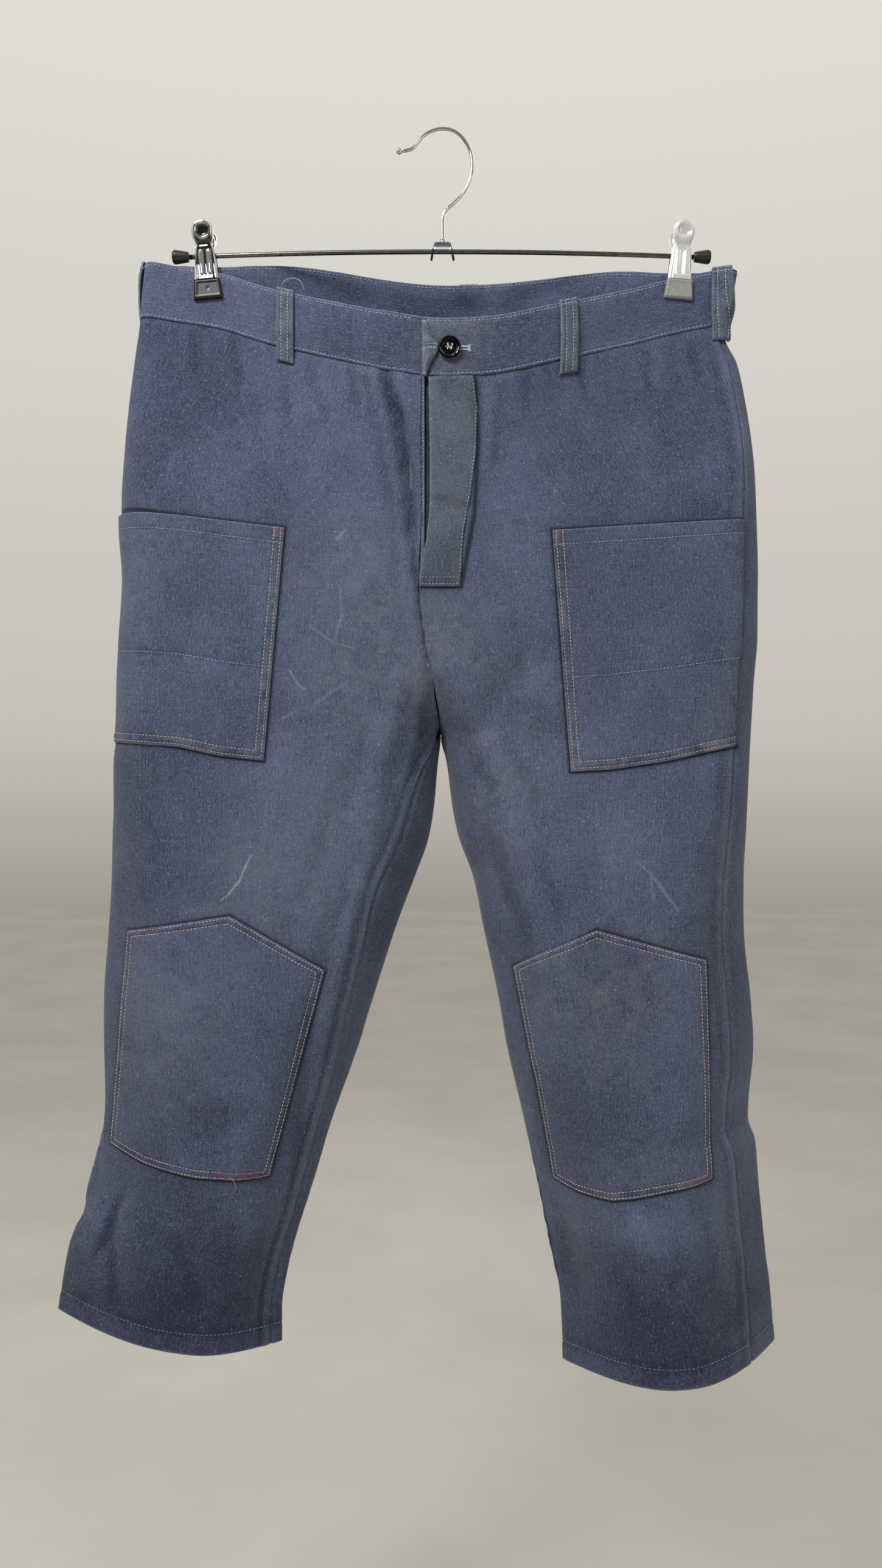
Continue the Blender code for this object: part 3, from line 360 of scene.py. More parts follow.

# Where the cloth is worn or dirty, and low on the legs, where the darker spots are painted shade that darkens
# towards the hems: a soft spot at (x, z) with these half sizes. Tone lightens it, or darkens it if negative,
# and warm turns the blue to a dusty grey.
WEAR_AND_SHADE_COLUMNS = ("x", "z", "across", "high", "tone", "warm")
WEAR_AND_SHADE = {
    "front": (
        (-70, -500, 42, 90, 0.20, 0.30),
        (-110, -560, 60, 60, 0.12, 0.15),
        (40, -520, 30, 60, 0.16, 0.40),
        (110, -540, 70, 70, 0.10, 0.10),
        (4, -390, 36, 60, 0.04, 0.70),
        (-50, -380, 40, 60, 0.08, 0.30),
        (-75, -325, 44, 40, 0.10, 0.25),
        (-170, -200, 70, 50, -0.12, -0.10),
        (-205, -250, 40, 50, -0.14, -0.10),
        (-105, -250, 50, 70, -0.02, 0.00),
        (60, -250, 44, 60, -0.04, -0.10),
        (150, -240, 60, 60, -0.10, -0.05),
        (190, -200, 40, 40, -0.05, 0.00),
        (-175, -680, 40, 60, 0.10, 0.20),
        (-167, -730, 17, 15, -0.30, 0.20),
        (120, -680, 40, 60, 0.02, 0.35),
        (132, -640, 30, 30, -0.05, 0.40),
        (152, -808, 34, 15, 0.20, 0.00),
        (200, -810, 24, 30, 0.10, 0.00),
        (-150, -800, 40, 26, 0.10, -0.05),
        # painted shade: these spots darken the lower legs towards the hems
        (-200, -800, 60, 60, -0.14, -0.25),
        (-200, -880, 80, 40, -0.22, -0.25),
        (160, -880, 90, 60, -0.22, -0.25),
        (-220, -540, 40, 80, -0.06, -0.05),
        (215, -560, 20, 120, -0.06, 0.30),
        (-120, -700, 30, 90, -0.12, -0.10),
    ),
    "back": (
        (0, -330, 90, 70, 0.14, 0.20),
        (-120, -520, 60, 120, 0.05, 0.10),
        (120, -520, 60, 120, 0.05, 0.10),
        (-160, -650, 40, 60, 0.10, 0.05),
        (140, -650, 40, 60, 0.10, 0.05),
        # painted shade: these spots darken the lower legs towards the hems
        (-200, -870, 80, 50, -0.20, -0.20),
        (160, -870, 80, 50, -0.20, -0.20),
    ),
}

# Rubbed lines on the cloth's face, as (x, z) to (x, z), with a half width and a strength
RUB_COLUMNS = ("x0", "z0", "x1", "z1", "half", "strength")
RUBS = (
    (-160.0, -577.5, -154.0, -573.0, 0.5, 0.50),
    (-154.0, -573.0, -146.0, -563.0, 0.6, 0.60),
    (-146.0, -563.0, -141.5, -552.0, 0.6, 0.55),
    (-141.5, -552.0, -138.0, -545.0, 0.5, 0.45),
    (-110.0, -412.0, -104.0, -422.0, 0.6, 0.28),
    (-104.0, -422.0, -99.0, -426.0, 0.6, 0.22),
    (-78.0, -392.0, -72.0, -372.0, 0.7, 0.20),
    (-72.0, -372.0, -74.0, -352.0, 0.6, 0.16),
    (-96.0, -380.0, -78.0, -392.0, 0.7, 0.18),
    (-78.0, -392.0, -64.0, -396.0, 0.6, 0.16),
    (-92.0, -436.0, -68.0, -420.0, 0.7, 0.15),
    (-118.0, -448.0, -104.0, -441.0, 0.6, 0.14),
    (138.0, -548.0, 150.0, -560.0, 0.6, 0.20),
    (150.0, -560.0, 168.0, -584.0, 0.7, 0.26),
    (148.0, -556.0, 150.0, -578.0, 0.6, 0.20),
    (-76.0, -318.0, -70.0, -312.0, 0.7, 0.26),
    (-100.0, -640.0, -98.0, -662.0, 0.6, 0.20),
)

# The placket's stitched edge and foot, for the dirt and painted shade beside them
PLACKET_EDGE = ((23.5, -200.0), (25.8, -246.0), (22.8, -300.0), (13.2, -352.4), (-16.0, -352.4))

# How bright the studio is from straight down, 0, to straight up, 1
SKY = (
    (0.0, (96, 92, 84)),
    (0.40, (120, 116, 108)),
    (0.52, (196, 192, 183)),
    (0.75, (222, 219, 211)),
    (1.0, (236, 234, 228)),
)
IN_FRONT = 0.35  # how bright it is on the camera's side
LIGHTS = (  # name, place, what it aims at, size, power in watts
    ("key", (-0.66, -1.15, 0.78), (0, 0, -0.42), (0.6, 0.5), 25.0),
    ("fill", (1.3, -1.5, -0.1), (0, 0, -0.5), (1.0, 1.4), 5.0),
    ("rim", (0.3, 1.6, 0.6), (0, 0, -0.45), (1.6, 1.2), 9.0),
)


def curve(values, tangent, run, i, t):
    """A smooth curve between the values i and i + 1, at a share t of the run from one to the other."""
    start = (1 + 2 * t) * (1 - t) ** 2 * values[i] + t * (1 - t) ** 2 * run * tangent[i]
    return start + t * t * (3 - 2 * t) * values[i + 1] + t * t * (t - 1) * run * tangent[i + 1]


def smooth(points, x):
    """The height of a smooth curve through (x, y) points, which doesn't pass their highs and lows."""
    xs, ys = np.array(points, float).T
    run = np.diff(xs)
    slope = np.diff(ys) / run
    before, after = slope[:-1], slope[1:]
    same = before * after > 0
    middle = np.where(same, 2 * before * after / np.where(same, before + after, 1), 0)
    tangent = np.concatenate([slope[:1], middle, slope[-1:]])
    x = np.clip(x, xs[0], xs[-1])
    i = np.clip(np.searchsorted(xs, x, side="right") - 1, 0, len(run) - 1)
    return curve(ys, tangent, run[i], i, (x - xs[i]) / run[i])


def ease(x):
    """0 below 0 and 1 above 1, with a smooth climb between."""
    x = np.clip(x, 0, 1)
    return x * x * (3 - 2 * x)


class Half:
    """One leg and its side of the hips."""

    def __init__(self, name, turn, rows, outseam, inseam, hem_slant):
        self.name = name
        self.turn = turn  # the way from the outer edge to the inner one, along X
        self.rows = [dict(zip(COLUMNS, row)) for row in rows]
        self.outseam = outseam
        self.inseam = inseam
        self.hem = rows[-1][0]
        self.hem_slant = hem_slant  # the outer end of the hem is this much higher than its middle
        self.seen = {}

    def size(self, column, level):
        """One column of the leg's rows at a level."""
        return float(smooth([(row["level"], row[column]) for row in self.rows], level))

    def line(self, face, level):
        """The cloth's points over one face at one level, from the outer edge to the inner one."""
        outer = self.size("outer", level)
        inner = self.size("inner" if face == "front" else "back_inner", level)
        depth = self.size(face, level)
        side_round = self.size("side_round", level)
        inner_round = self.size("inner_round", level)
        width = abs(inner - outer)
        start = math.acos(1 - min(1, max(0, (FORK - level) / FORK_RISE)))
        side = np.linspace(0, math.pi / 2, 20)
        fork = np.linspace(math.pi / 2, start, 20)
        last_flat = width - inner_round * math.cos(start)
        along = np.concatenate([
            side_round * (1 - np.cos(side)),
            np.linspace(side_round, last_flat, 30)[1:-1],
            width - inner_round * (math.cos(start) - np.cos(fork)),
        ])
        height = np.concatenate([np.sin(side), np.ones(28), np.sin(fork)])
        lens = np.sin(math.pi / 2 * np.concatenate([1 - np.cos(side), np.ones(28), 1 - np.cos(fork)]))
        height += (lens - height) * self.size("crease", level)
        x = outer + self.turn * along
        y = self.offset(face, x, level, depth) * height
        if face == "back" and self.name == "right":
            flare = smooth(RIGHT_FLARE, level) * ease(y / 5) * (1 - ease(along / FLARE_WIDTH))
            x = x - self.turn * flare
        y = y - self.folds(face, x, level)
        z = -level - self.sag(face, x, level) + self.slant(x, level)
        return np.stack([x, -y if face == "front" else y, z], axis=1)

    def offset(self, face, x, level, depth):
        """How far the cloth stands off the middle plane: gripped flat by the clips at the waist."""
        bulge = WAIST_BULGE if face == "front" else WAIST_BULGE - 4
        span = np.clip(np.abs(x) / (CLIP_X - PAD[0] - 8), 0, 1)
        waist = GRIP + bulge * np.cos(math.pi / 2 * span) ** 1.3
        waist = waist + 2.6 * ease((np.abs(x) - CLIP_X - PAD[0]) / 18)
        full = ease((level - SEAM + 10) / (HIP_LEVEL - SEAM))
        return waist * (1 - full) + depth * full

    def folds(self, face, x, level):
        """How far the broad folds sink the cloth."""
        sunk = np.zeros_like(x)
        for row in FOLDS[self.name, face]:
            fold = dict(zip(FOLD_COLUMNS, row))
            share = (level - fold["level0"]) / (fold["level1"] - fold["level0"])
            middle = fold["x0"] + (fold["x1"] - fold["x0"]) * share
            strength = ease((share + 0.25) / 0.5) * ease((1.25 - share) / 0.5)
            sunk += fold["depth"] * strength * np.exp(-(((x - middle) / fold["width"]) ** 2))
        return sunk

    def sag(self, face, x, level):
        """How far the waistline's sag lowers the cloth."""
        table = FRONT_SAG if face == "front" else BACK_SAG
        return smooth(table, x) * (1 - ease((level - SEAM) / SAG_FADES))

    def slant(self, x, level):
        """The hem is square to the leg, so its outer end is higher."""
        outer = self.size("outer", level)
        inner = self.size("inner", level)
        across = (x - (outer + inner) / 2) / ((outer - inner) / 2)
        return self.hem_slant * across * ease((level - 560) / (self.hem - 560))

    def loop(self, level):
        """Places and points round the leg at a level. Below the fork it is closed, and goes round past
        its inner edge on both sides."""
        level = round(float(level), 3)
        if level not in self.seen:
            front, back = self.line("front", level), self.line("back", level)
            path = [back[::-1], front]
            if level >= FORK:
                path = [front, back[::-1], front, back[::-1]]
            points = np.concatenate(path)
            steps = np.linalg.norm(np.diff(points, axis=0), axis=1)
            keep = np.concatenate([[True], steps > 1e-6])
            place = np.concatenate([[0], np.cumsum(steps)])
            first = len(back) if level < FORK else len(front) + len(back)
            place = place - place[first]
            self.seen[level] = place[keep], points[keep]
        return self.seen[level]

    def point(self, place, level):
        """The points at these places on one level."""
        places, points = self.loop(level)
        return np.array([np.interp(place, places, points[:, k]) for k in range(3)])

    def long(self, face, level):
        """The length of the cloth over one face."""
        line = self.line(face, level)
        return float(np.linalg.norm(np.diff(line, axis=0), axis=1).sum())

    def reach(self, face, level, inset, from_inner=False):
        """How far along a face its cloth is this far in from its edge."""
        line = self.line(face, level)
        if from_inner:
            line = line[::-1]
        place = np.concatenate([[0], np.cumsum(np.linalg.norm(np.diff(line, axis=0), axis=1))])
        inward = np.maximum.accumulate(np.abs(line[:, 0] - line[0, 0]))
        near = min(len(line), 60)
        return float(np.interp(inset, inward[:near], place[:near]))

    def place_at(self, face, x, level):
        """The place where a face's cloth is at this x."""
        line = self.line(face, level)
        place = np.concatenate([[0], np.cumsum(np.linalg.norm(np.diff(line, axis=0), axis=1))])
        order = np.argsort(line[:, 0])
        found = float(np.interp(x, line[order, 0], place[order]))
        return found if face == "front" else -found

    def seams(self, face, level):
        """The places where a panel starts and ends at a level, with half a gap at each seam."""
        outset = float(smooth(self.outseam, level))
        outseam = self.reach("front", level, outset) if outset > 0 else -self.reach("back", level, -outset)
        front, back = self.long("front", level), self.long("back", level)
        inset = float(smooth(self.inseam, level)) if level > FORK else 0
        past = self.reach("front" if inset > 0 else "back", level, abs(inset), from_inner=True)
        past = past if inset > 0 else -past
        if face == "front":
            return outseam + GAP / 2, front - past - GAP / 2
        return outseam - GAP / 2, -back - past + GAP / 2


RIGHT = Half("right", 1, RIGHT_ROWS, RIGHT_OUTSEAM, RIGHT_INSEAM, 12)
LEFT = Half("left", -1, LEFT_ROWS, LEFT_OUTSEAM, LEFT_INSEAM, 7.2)


# Noise and grids

def bumps(x, y, seed):
    """Smooth noise from -1 to 1 over a plane, with about one bump to a unit. Each use has its own seed."""
    lattice = np.random.RandomState(seed).uniform(-1, 1, (64, 64))
    column, row = np.floor(x).astype(int), np.floor(y).astype(int)
    across, down = ease(x - column), ease(y - row)
    corner = [[lattice[(row + i) % 64, (column + j) % 64] for j in (0, 1)] for i in (0, 1)]
    top = corner[0][0] * (1 - across) + corner[0][1] * across
    foot = corner[1][0] * (1 - across) + corner[1][1] * across
    return top * (1 - down) + foot * down


def crowded(length, step, fine=(0, 0.4, 1.0, 1.8, 2.8, 4.2)):
    """Distances from 0 to a length: fine ones at both ends, and steps of about this size between."""
    fine = np.array(fine)
    middle = np.linspace(fine[-1], length - fine[-1], max(2, round((length - 2 * fine[-1]) / step) + 1))
    return np.concatenate([fine[:-1], middle, length - fine[:-1][::-1]])


def roll(distance, radius, drop):
    """How far a rounded edge falls, this far in from the edge."""
    inside = np.clip(distance / radius, 0, 1)
    return -drop * (1 - np.sqrt(1 - (1 - inside) ** 2))


def dip(distance, width):
    """A soft notch at 0, from 1 to 0."""
    return np.exp(-((distance / width) ** 2))


class Skin:
    """One leg's surface, held on a fine grid of places and levels so that many points are quick."""

    STEP = 2.0
    FIRST_LEVEL = 92.0
    REACH = 344  # places go as far as this, both ways

    def __init__(self, half):
        self.half = half
        self.turn = half.turn
        self.levels = np.arange(self.FIRST_LEVEL, half.hem + 5, self.STEP)
        self.places = np.arange(-self.REACH, self.REACH + 1, self.STEP)
        self.grid = np.array([half.point(self.places, level).T for level in self.levels])

    def at(self, place, level):
        """The cloth's points at these places and levels."""
        row = np.clip((level - self.FIRST_LEVEL) / self.STEP, 0, len(self.levels) - 1.001)
        column = np.clip((place - self.places[0]) / self.STEP, 0, len(self.places) - 1.001)
        i, j = row.astype(int), column.astype(int)
        down, across = (row - i)[..., None], (column - j)[..., None]
        top = self.grid[i, j] * (1 - across) + self.grid[i, j + 1] * across
        foot = self.grid[i + 1, j] * (1 - across) + self.grid[i + 1, j + 1] * across
        return top * (1 - down) + foot * down

    def normal(self, place, level):
        """The cloth's normals there, which point out of the leg."""
        across = self.at(place + 2, level) - self.at(place - 2, level)
        down = self.at(place, level + 2) - self.at(place, level - 2)
        cross = -np.cross(across, down) * self.turn
        return cross / np.maximum(np.linalg.norm(cross, axis=-1, keepdims=True), 1e-9)

    def level_at(self, place, z):
        """The levels where the cloth at these places is at these heights."""
        level = -z
        for _ in range(8):
            level = level + self.at(place, level)[..., 2] - z
        return level

    def place_of(self, face, x, z):
        """The places where a face's cloth is at these (x, z)."""
        x, z = np.broadcast_arrays(np.asarray(x, float), np.asarray(z, float))
        place = np.zeros(x.shape)
        for index in np.ndindex(x.shape):
            level = -z[index]
            for _ in range(5):
                found = self.half.place_at(face, x[index], level)
                level += float(self.at(np.array(found), np.array(level))[2] - z[index])
            place[index] = found
        return place


SKINS = {"right": Skin(RIGHT), "left": Skin(LEFT)}


def relief(skin, face, place, level):
    """How far the cloth's fine creases and wrinkles lift it."""
    points = skin.at(place, level)
    x, z = points[..., 0], points[..., 2]
    seed = 3 if skin is SKINS["right"] else 8
    seed += 20 if face == "back" else 0
    height = 0.50 * bumps(x / 50 + 9, z / 80, seed) + 0.16 * bumps(x / 24, z / 40 + 7, seed + 1)
    height = height + 0.05 * bumps(x / 9, z / 13, seed + 2)
    for row in CREASES[skin.half.name, face]:
        crease = dict(zip(CREASE_COLUMNS, row))
        run = np.array([crease["x1"] - crease["x0"], crease["z1"] - crease["z0"]], float)
        long = np.hypot(*run)
        dx, dz = x - crease["x0"], z - crease["z0"]
        share = (dx * run[0] + dz * run[1]) / long**2
        off = (dx * run[1] - dz * run[0]) / long + 1.2 * bumps(z / 26, x * 0 + crease["x0"], seed + 3)
        strength = ease((share + 0.15) / 0.4) * ease((1.15 - share) / 0.4)
        height = height - crease["depth"] * strength * dip(off, crease["width"])
    below = level - SEAM
    height = height + 0.40 * bumps(x / 10.5, z * 0 + 2.5, seed + 4) * np.exp(-np.clip(below, 0, 400) / 10)
    above = skin.half.hem - HEM_ROW - level
    height = height + 0.22 * bumps(x / 7.5, z * 0 + 5.5, seed + 5) * dip(above, 9)
    return height


def wear_and_shade(face, x, z, seed):
    """How much the cloth is lightened or darkened, by wear, dirt and the painted shade low on the legs, and
    how much it is turned grey. A face without such spots, such as the waistband's, has the noise alone."""
    tone = 0.10 * bumps(x / 60 + 3, z / 90, seed) + 0.07 * bumps(x / 24, z / 30, seed + 1)
    warm = 0.25 * bumps(x / 70, z / 60 + 5, seed + 2)
    for row in WEAR_AND_SHADE.get(face, ()):
        spot = dict(zip(WEAR_AND_SHADE_COLUMNS, row))
        ragged = 1 + 0.25 * bumps(x / 14, z / 14, seed + 3)
        away = ((x - spot["x"]) / spot["across"]) ** 2 + ((z - spot["z"]) / spot["high"]) ** 2
        amount = np.exp(-away * ragged)
        tone = tone + spot["tone"] * amount
        warm = warm + spot["warm"] * amount
    return tone, warm


# Meshes

FRONTWARD, BACKWARD = -1, 1  # the ways along Y


def piece(name, verts, faces, made_of):
    """An object with this mesh, given in mm, on the model's only body."""
    mesh = bpy.data.meshes.new(name)
    mesh.from_pydata((np.asarray(verts, float) * MM).tolist(), [], faces)
    mesh.materials.append(made_of)
    mesh.polygons.foreach_set("use_smooth", np.ones(len(mesh.polygons), bool))
    made = bpy.data.objects.new(name, mesh)
    bpy.context.scene.collection.objects.link(made)
    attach(made, "root")
    return made


def facing(points, way=FRONTWARD):
    """A normal along Y for every point, towards the front or the back."""
    normals = np.zeros_like(points)
    normals[..., 1] = way
    return normals


def grid_quads(rows, columns):
    """The four corners of each face of a grid of points."""
    i, j = np.meshgrid(np.arange(rows - 1), np.arange(columns - 1), indexing="ij")
    a = (i * columns + j).ravel()
    return np.stack([a, a + 1, a + columns + 1, a + columns], axis=1)


def shell(name, points, normals, outer, inner, made_of, slot, places=None, levels=None, **marks):
    """A closed sheet of cloth over a grid of points, with its outer and inner face this far out along
    the normals. The marks are numbers for every point, which the material reads."""
    rows, columns = points.shape[:2]
    count = rows * columns
    verts = np.concatenate([
        (points + normals * outer[..., None]).reshape(-1, 3),
        (points + normals * inner[..., None]).reshape(-1, 3),
    ])
    quads = grid_quads(rows, columns)
    corner = verts[quads[:, :3]]
    way = np.cross(corner[:, 1] - corner[:, 0], corner[:, 2] - corner[:, 0])
    turned = (way * normals.reshape(-1, 3)[quads[:, 0]]).sum() < 0
    if turned:
        quads = quads[:, ::-1]
    ring = list(range(columns)) + [i * columns + columns - 1 for i in range(1, rows)]
    ring += [(rows - 1) * columns + j for j in range(columns - 2, -1, -1)]
    ring += [i * columns for i in range(rows - 2, 0, -1)]
    if turned:
        ring = ring[::-1]
    rims = [(b, a, a + count, b + count) for a, b in zip(ring, ring[1:] + ring[:1])]
    faces = quads.tolist() + (quads[:, ::-1] + count).tolist() + rims
    made = piece(name, verts, faces, made_of)
    mesh = made.data
    flags = np.ones(len(faces), bool)
    flags[-len(rims):] = False
    mesh.polygons.foreach_set("use_smooth", flags)
    if places is None:
        places = np.zeros((rows, columns))
        places[:, 1:] = np.cumsum(np.linalg.norm(np.diff(points, axis=1), axis=2), axis=1)
        levels = np.zeros((rows, columns))
        levels[1:] = np.cumsum(np.linalg.norm(np.diff(points, axis=0), axis=2), axis=0)
    flat = [np.broadcast_to(places, (rows, columns)), -np.broadcast_to(levels, (rows, columns))]
    flat = np.tile(np.stack(flat, axis=2).reshape(-1, 2) * MM, (2, 1))
    corners = np.zeros(len(mesh.loops), int)
    mesh.loops.foreach_get("vertex_index", corners)
    layer = mesh.uv_layers.new(name="cloth")
    layer.data.foreach_set("uv", flat[corners].ravel())
    for mark in ("tone", "warm", "edge"):
        values = np.broadcast_to(marks.get(mark, np.zeros((rows, columns))), (rows, columns)).ravel()
        mesh.attributes.new(mark, "FLOAT", "POINT").data.foreach_set("value", np.tile(values, 2))
    return made


# Materials

class Shader:
    """Short calls for a material's nodes."""

    def __init__(self, name):
        self.material = bpy.data.materials.new(name)
        self.material.use_nodes = True
        self.tree = self.material.node_tree
        self.surface = self.tree.nodes["Principled BSDF"]

    def node(self, kind, inputs=(), **settings):
        made = self.tree.nodes.new(kind)
        for key, value in settings.items():
            setattr(made, key, value)
        for key, value in dict(inputs).items():
            self.link(value, made.inputs[key])
        return made

    def link(self, value, socket):
        if isinstance(value, bpy.types.NodeSocket):
            self.tree.links.new(value, socket)
        elif value is not None:
            socket.default_value = value

    def math(self, operation, a, b=0.0, c=0.0, clamp=False):
        made = self.node("ShaderNodeMath", {0: a, 1: b, 2: c}, operation=operation, use_clamp=clamp)
        return made.outputs[0]

    def scaled(self, vector, scale, turn=0.0):
        inputs = {"Vector": vector, "Scale": scale, "Rotation": (0, 0, turn)}
        return self.node("ShaderNodeMapping", inputs).outputs[0]

    def space(self):
        return self.node("ShaderNodeTexCoord").outputs["Object"]

    def noise(self, vector, scale, detail=2.0, roughness=0.5, flat=False):
        inputs = {"Vector": vector, "Scale": scale, "Detail": detail, "Roughness": roughness}
        dimensions = "2D" if flat else "3D"
        return self.node("ShaderNodeTexNoise", inputs, noise_dimensions=dimensions).outputs[0]

    def ramp(self, value, low, high):
        """0 up to low and 1 from high on."""
        inputs = {"Value": value, "From Min": low, "From Max": high}
        made = self.node("ShaderNodeMapRange", inputs, interpolation_type="SMOOTHSTEP")
        return made.outputs[0]

    def spread(self, value, low, high, start, end):
        """start up to low and end from high on, with a straight line between."""
        inputs = {"Value": value, "From Min": low, "From Max": high, "To Min": start, "To Max": end}
        return self.node("ShaderNodeMapRange", inputs).outputs[0]

    def mix(self, share, a, b):
        made = self.node("ShaderNodeMix", data_type="RGBA")
        self.link(share, made.inputs[0])
        self.link(a, made.inputs[6])
        self.link(b, made.inputs[7])
        return made.outputs[2]

    def mark(self, name):
        return self.node("ShaderNodeAttribute", attribute_name=name).outputs["Fac"]

    def bump(self, height, strength, distance):
        inputs = {"Height": height, "Strength": strength, "Distance": distance}
        self.set(Normal=self.node("ShaderNodeBump", inputs).outputs[0])

    def set(self, **values):
        for name, value in values.items():
            self.link(value, self.surface.inputs[name.replace("_", " ")])


def srgb(red, green, blue):
    """A colour from its 0 to 255 values on screen."""
    def linear(value):
        share = value / 255
        return share / 12.92 if share < 0.04045 else ((share + 0.055) / 1.055) ** 2.4
    return linear(red), linear(green), linear(blue), 1.0


MID_FADE = 0.42  # the share of the light colour where a mesh has no mark
RIB_TURN = 0.98  # radians from the warp to the twill's ribs
SLUB = (176, 184, 204)
WORN_EDGE = (150, 158, 182)
RUBBED = (176, 180, 190)
# the colour of the dirt and painted shade beside what is sewn on
DIRT_AND_SHADE = (22, 26, 40)


def twill(name, dark, light, grey, lean=1, outlines=(), streaks=1.0):
    """Faded indigo twill. The weave, warp streaks and slubs follow the cloth, and the larger fading,
    dirt and painted shade follow the marks on its mesh. When given outlines, it is also darkened beside them
    with dirt and painted shade."""
    s = Shader(name)
    cloth = s.node("ShaderNodeUVMap", uv_map="cloth").outputs[0]
    space = s.space()
    cloud = s.noise(space, 26, 4.0, 0.6)
    blotch = s.noise(space, 95, 5.0, 0.66)
    warp = s.noise(s.scaled(cloth, (900, 36, 1)), 1.0, 2.0, 0.6, flat=True)
    thread = s.noise(s.scaled(cloth, (1900, 160, 1)), 1.0, 2.0, 0.7, flat=True)
    weft = s.noise(s.scaled(cloth, (60, 1500, 1)), 1.0, 2.0, 0.7, flat=True)
    speck = s.noise(s.scaled(cloth, (760, 420, 1)), 1.0, 1.0, 0.5, flat=True)
    salt = s.noise(s.scaled(cloth, (1500, 1300, 1)), 1.0, 1.0, 0.5, flat=True)
    slant = s.scaled(cloth, (1, 1, 1), turn=lean * RIB_TURN)
    inputs = {"Vector": slant, "Scale": 290.0, "Distortion": 1.6, "Detail": 2.0, "Detail Scale": 3.0}
    ribs = s.node("ShaderNodeTexWave", inputs, wave_type="BANDS", bands_direction="X").outputs[1]
    fade = s.math("ADD", s.mark("tone"), MID_FADE)
    for part, share in ((cloud, 0.26), (blotch, 0.22), (warp, 0.34 * streaks), (thread, 0.80 * streaks),
                        (weft, 0.34), (speck, 0.42), (salt, 1.15), (ribs, 0.24)):
        fade = s.math("MULTIPLY_ADD", s.math("SUBTRACT", part, 0.5), share, fade)
    fade = s.math("MAXIMUM", s.math("MINIMUM", fade, 1.0), 0.0)
    colour = s.mix(fade, dark, light)
    dust = s.math("MULTIPLY", s.ramp(blotch, 0.30, 0.75), s.mark("warm"), clamp=True)
    colour = s.mix(dust, colour, s.mix(fade, tuple(v * 0.75 for v in grey[:3]) + (1,), grey))
    slub = s.math("MULTIPLY", s.ramp(speck, 0.74, 0.84), 0.40)
    colour = s.mix(slub, colour, srgb(*SLUB))
    frayed = s.ramp(s.noise(space, 900, 2.0, 0.6), 0.30, 0.68)
    edge = s.math("MULTIPLY", s.mark("edge"), frayed, clamp=True)
    colour = s.mix(edge, colour, srgb(*WORN_EDGE))
    if outlines:
        colour = s.mix(rubs(s, space), colour, srgb(*RUBBED))
        # dirt and painted shade beside the edges of what is sewn on
        colour = s.mix(seam_dirt_and_shade(s, space, outlines), colour, srgb(*DIRT_AND_SHADE))
    s.set(Base_Color=colour, Roughness=0.92, Sheen_Weight=0.12, Sheen_Roughness=0.5, Specular_IOR_Level=0.25)
    height = s.math("MULTIPLY_ADD", ribs, 0.5, s.math("MULTIPLY", thread, 0.55))
    height = s.math("MULTIPLY_ADD", warp, 0.6, height)
    s.bump(s.math("MULTIPLY_ADD", blotch, 1.1, height), 0.55, 0.35 * MM)
    return s.material


def line_distance(s, parts, x0, z0, x1, z1):
    """The distance in the front view from a line between two points, given in mm."""
    x0, z0, x1, z1 = (v * MM for v in (x0, z0, x1, z1))
    long = math.hypot(x1 - x0, z1 - z0)
    ux, uz = (x1 - x0) / long, (z1 - z0) / long
    dx, dz = s.math("SUBTRACT", parts[0], x0), s.math("SUBTRACT", parts[2], z0)
    along = s.math("MULTIPLY_ADD", dx, ux, s.math("MULTIPLY", dz, uz))
    off = s.math("MULTIPLY_ADD", dx, uz, s.math("MULTIPLY", dz, -ux))
    past = s.math("SUBTRACT", along, s.math("MINIMUM", s.math("MAXIMUM", along, 0.0), long))
    return s.math("SQRT", s.math("MULTIPLY_ADD", past, past, s.math("MULTIPLY", off, off)))


def rubs(s, space):
    """Where the cloth's front has been rubbed in thin lines."""
    parts = s.node("ShaderNodeSeparateXYZ", {0: space}).outputs
    ragged = s.noise(space, 330, 4.0, 0.75)
    wander = s.math("MULTIPLY", s.math("SUBTRACT", ragged, 0.5), 0.0040)
    total = None
    for row in RUBS:
        rub = dict(zip(RUB_COLUMNS, row))
        away = s.math("ADD", line_distance(s, parts, rub["x0"], rub["z0"], rub["x1"], rub["z1"]), wander)
        amount = s.spread(away, rub["half"] * 0.4 * MM, rub["half"] * 2.0 * MM, rub["strength"], 0.0)
        total = amount if total is None else s.math("MAXIMUM", total, amount)
    front = s.math("LESS_THAN", parts[1], 0.0)
    return s.math("MULTIPLY", s.math("MULTIPLY", total, front), s.ramp(ragged, 0.25, 0.55))


def seam_dirt_and_shade(s, space, outlines):
    """Dirt and painted shade on a front panel beside what is sewn on it, densest against its edge."""
    parts = s.node("ShaderNodeSeparateXYZ", {0: space}).outputs
    nearest = None
    for corners in outlines:
        for (x0, z0), (x1, z1) in zip(corners, corners[1:]):
            away = line_distance(s, parts, x0, z0, x1, z1)
            nearest = away if nearest is None else s.math("MINIMUM", nearest, away)
    front = s.math("LESS_THAN", parts[1], 0.0)
    close = s.spread(nearest, 0.8 * MM, 3.0 * MM, 0.85, 0.0)
    wide = s.spread(nearest, 0.5 * MM, 7.0 * MM, 0.16, 0.0)
    return s.math("MULTIPLY", s.math("MAXIMUM", close, wide), front)


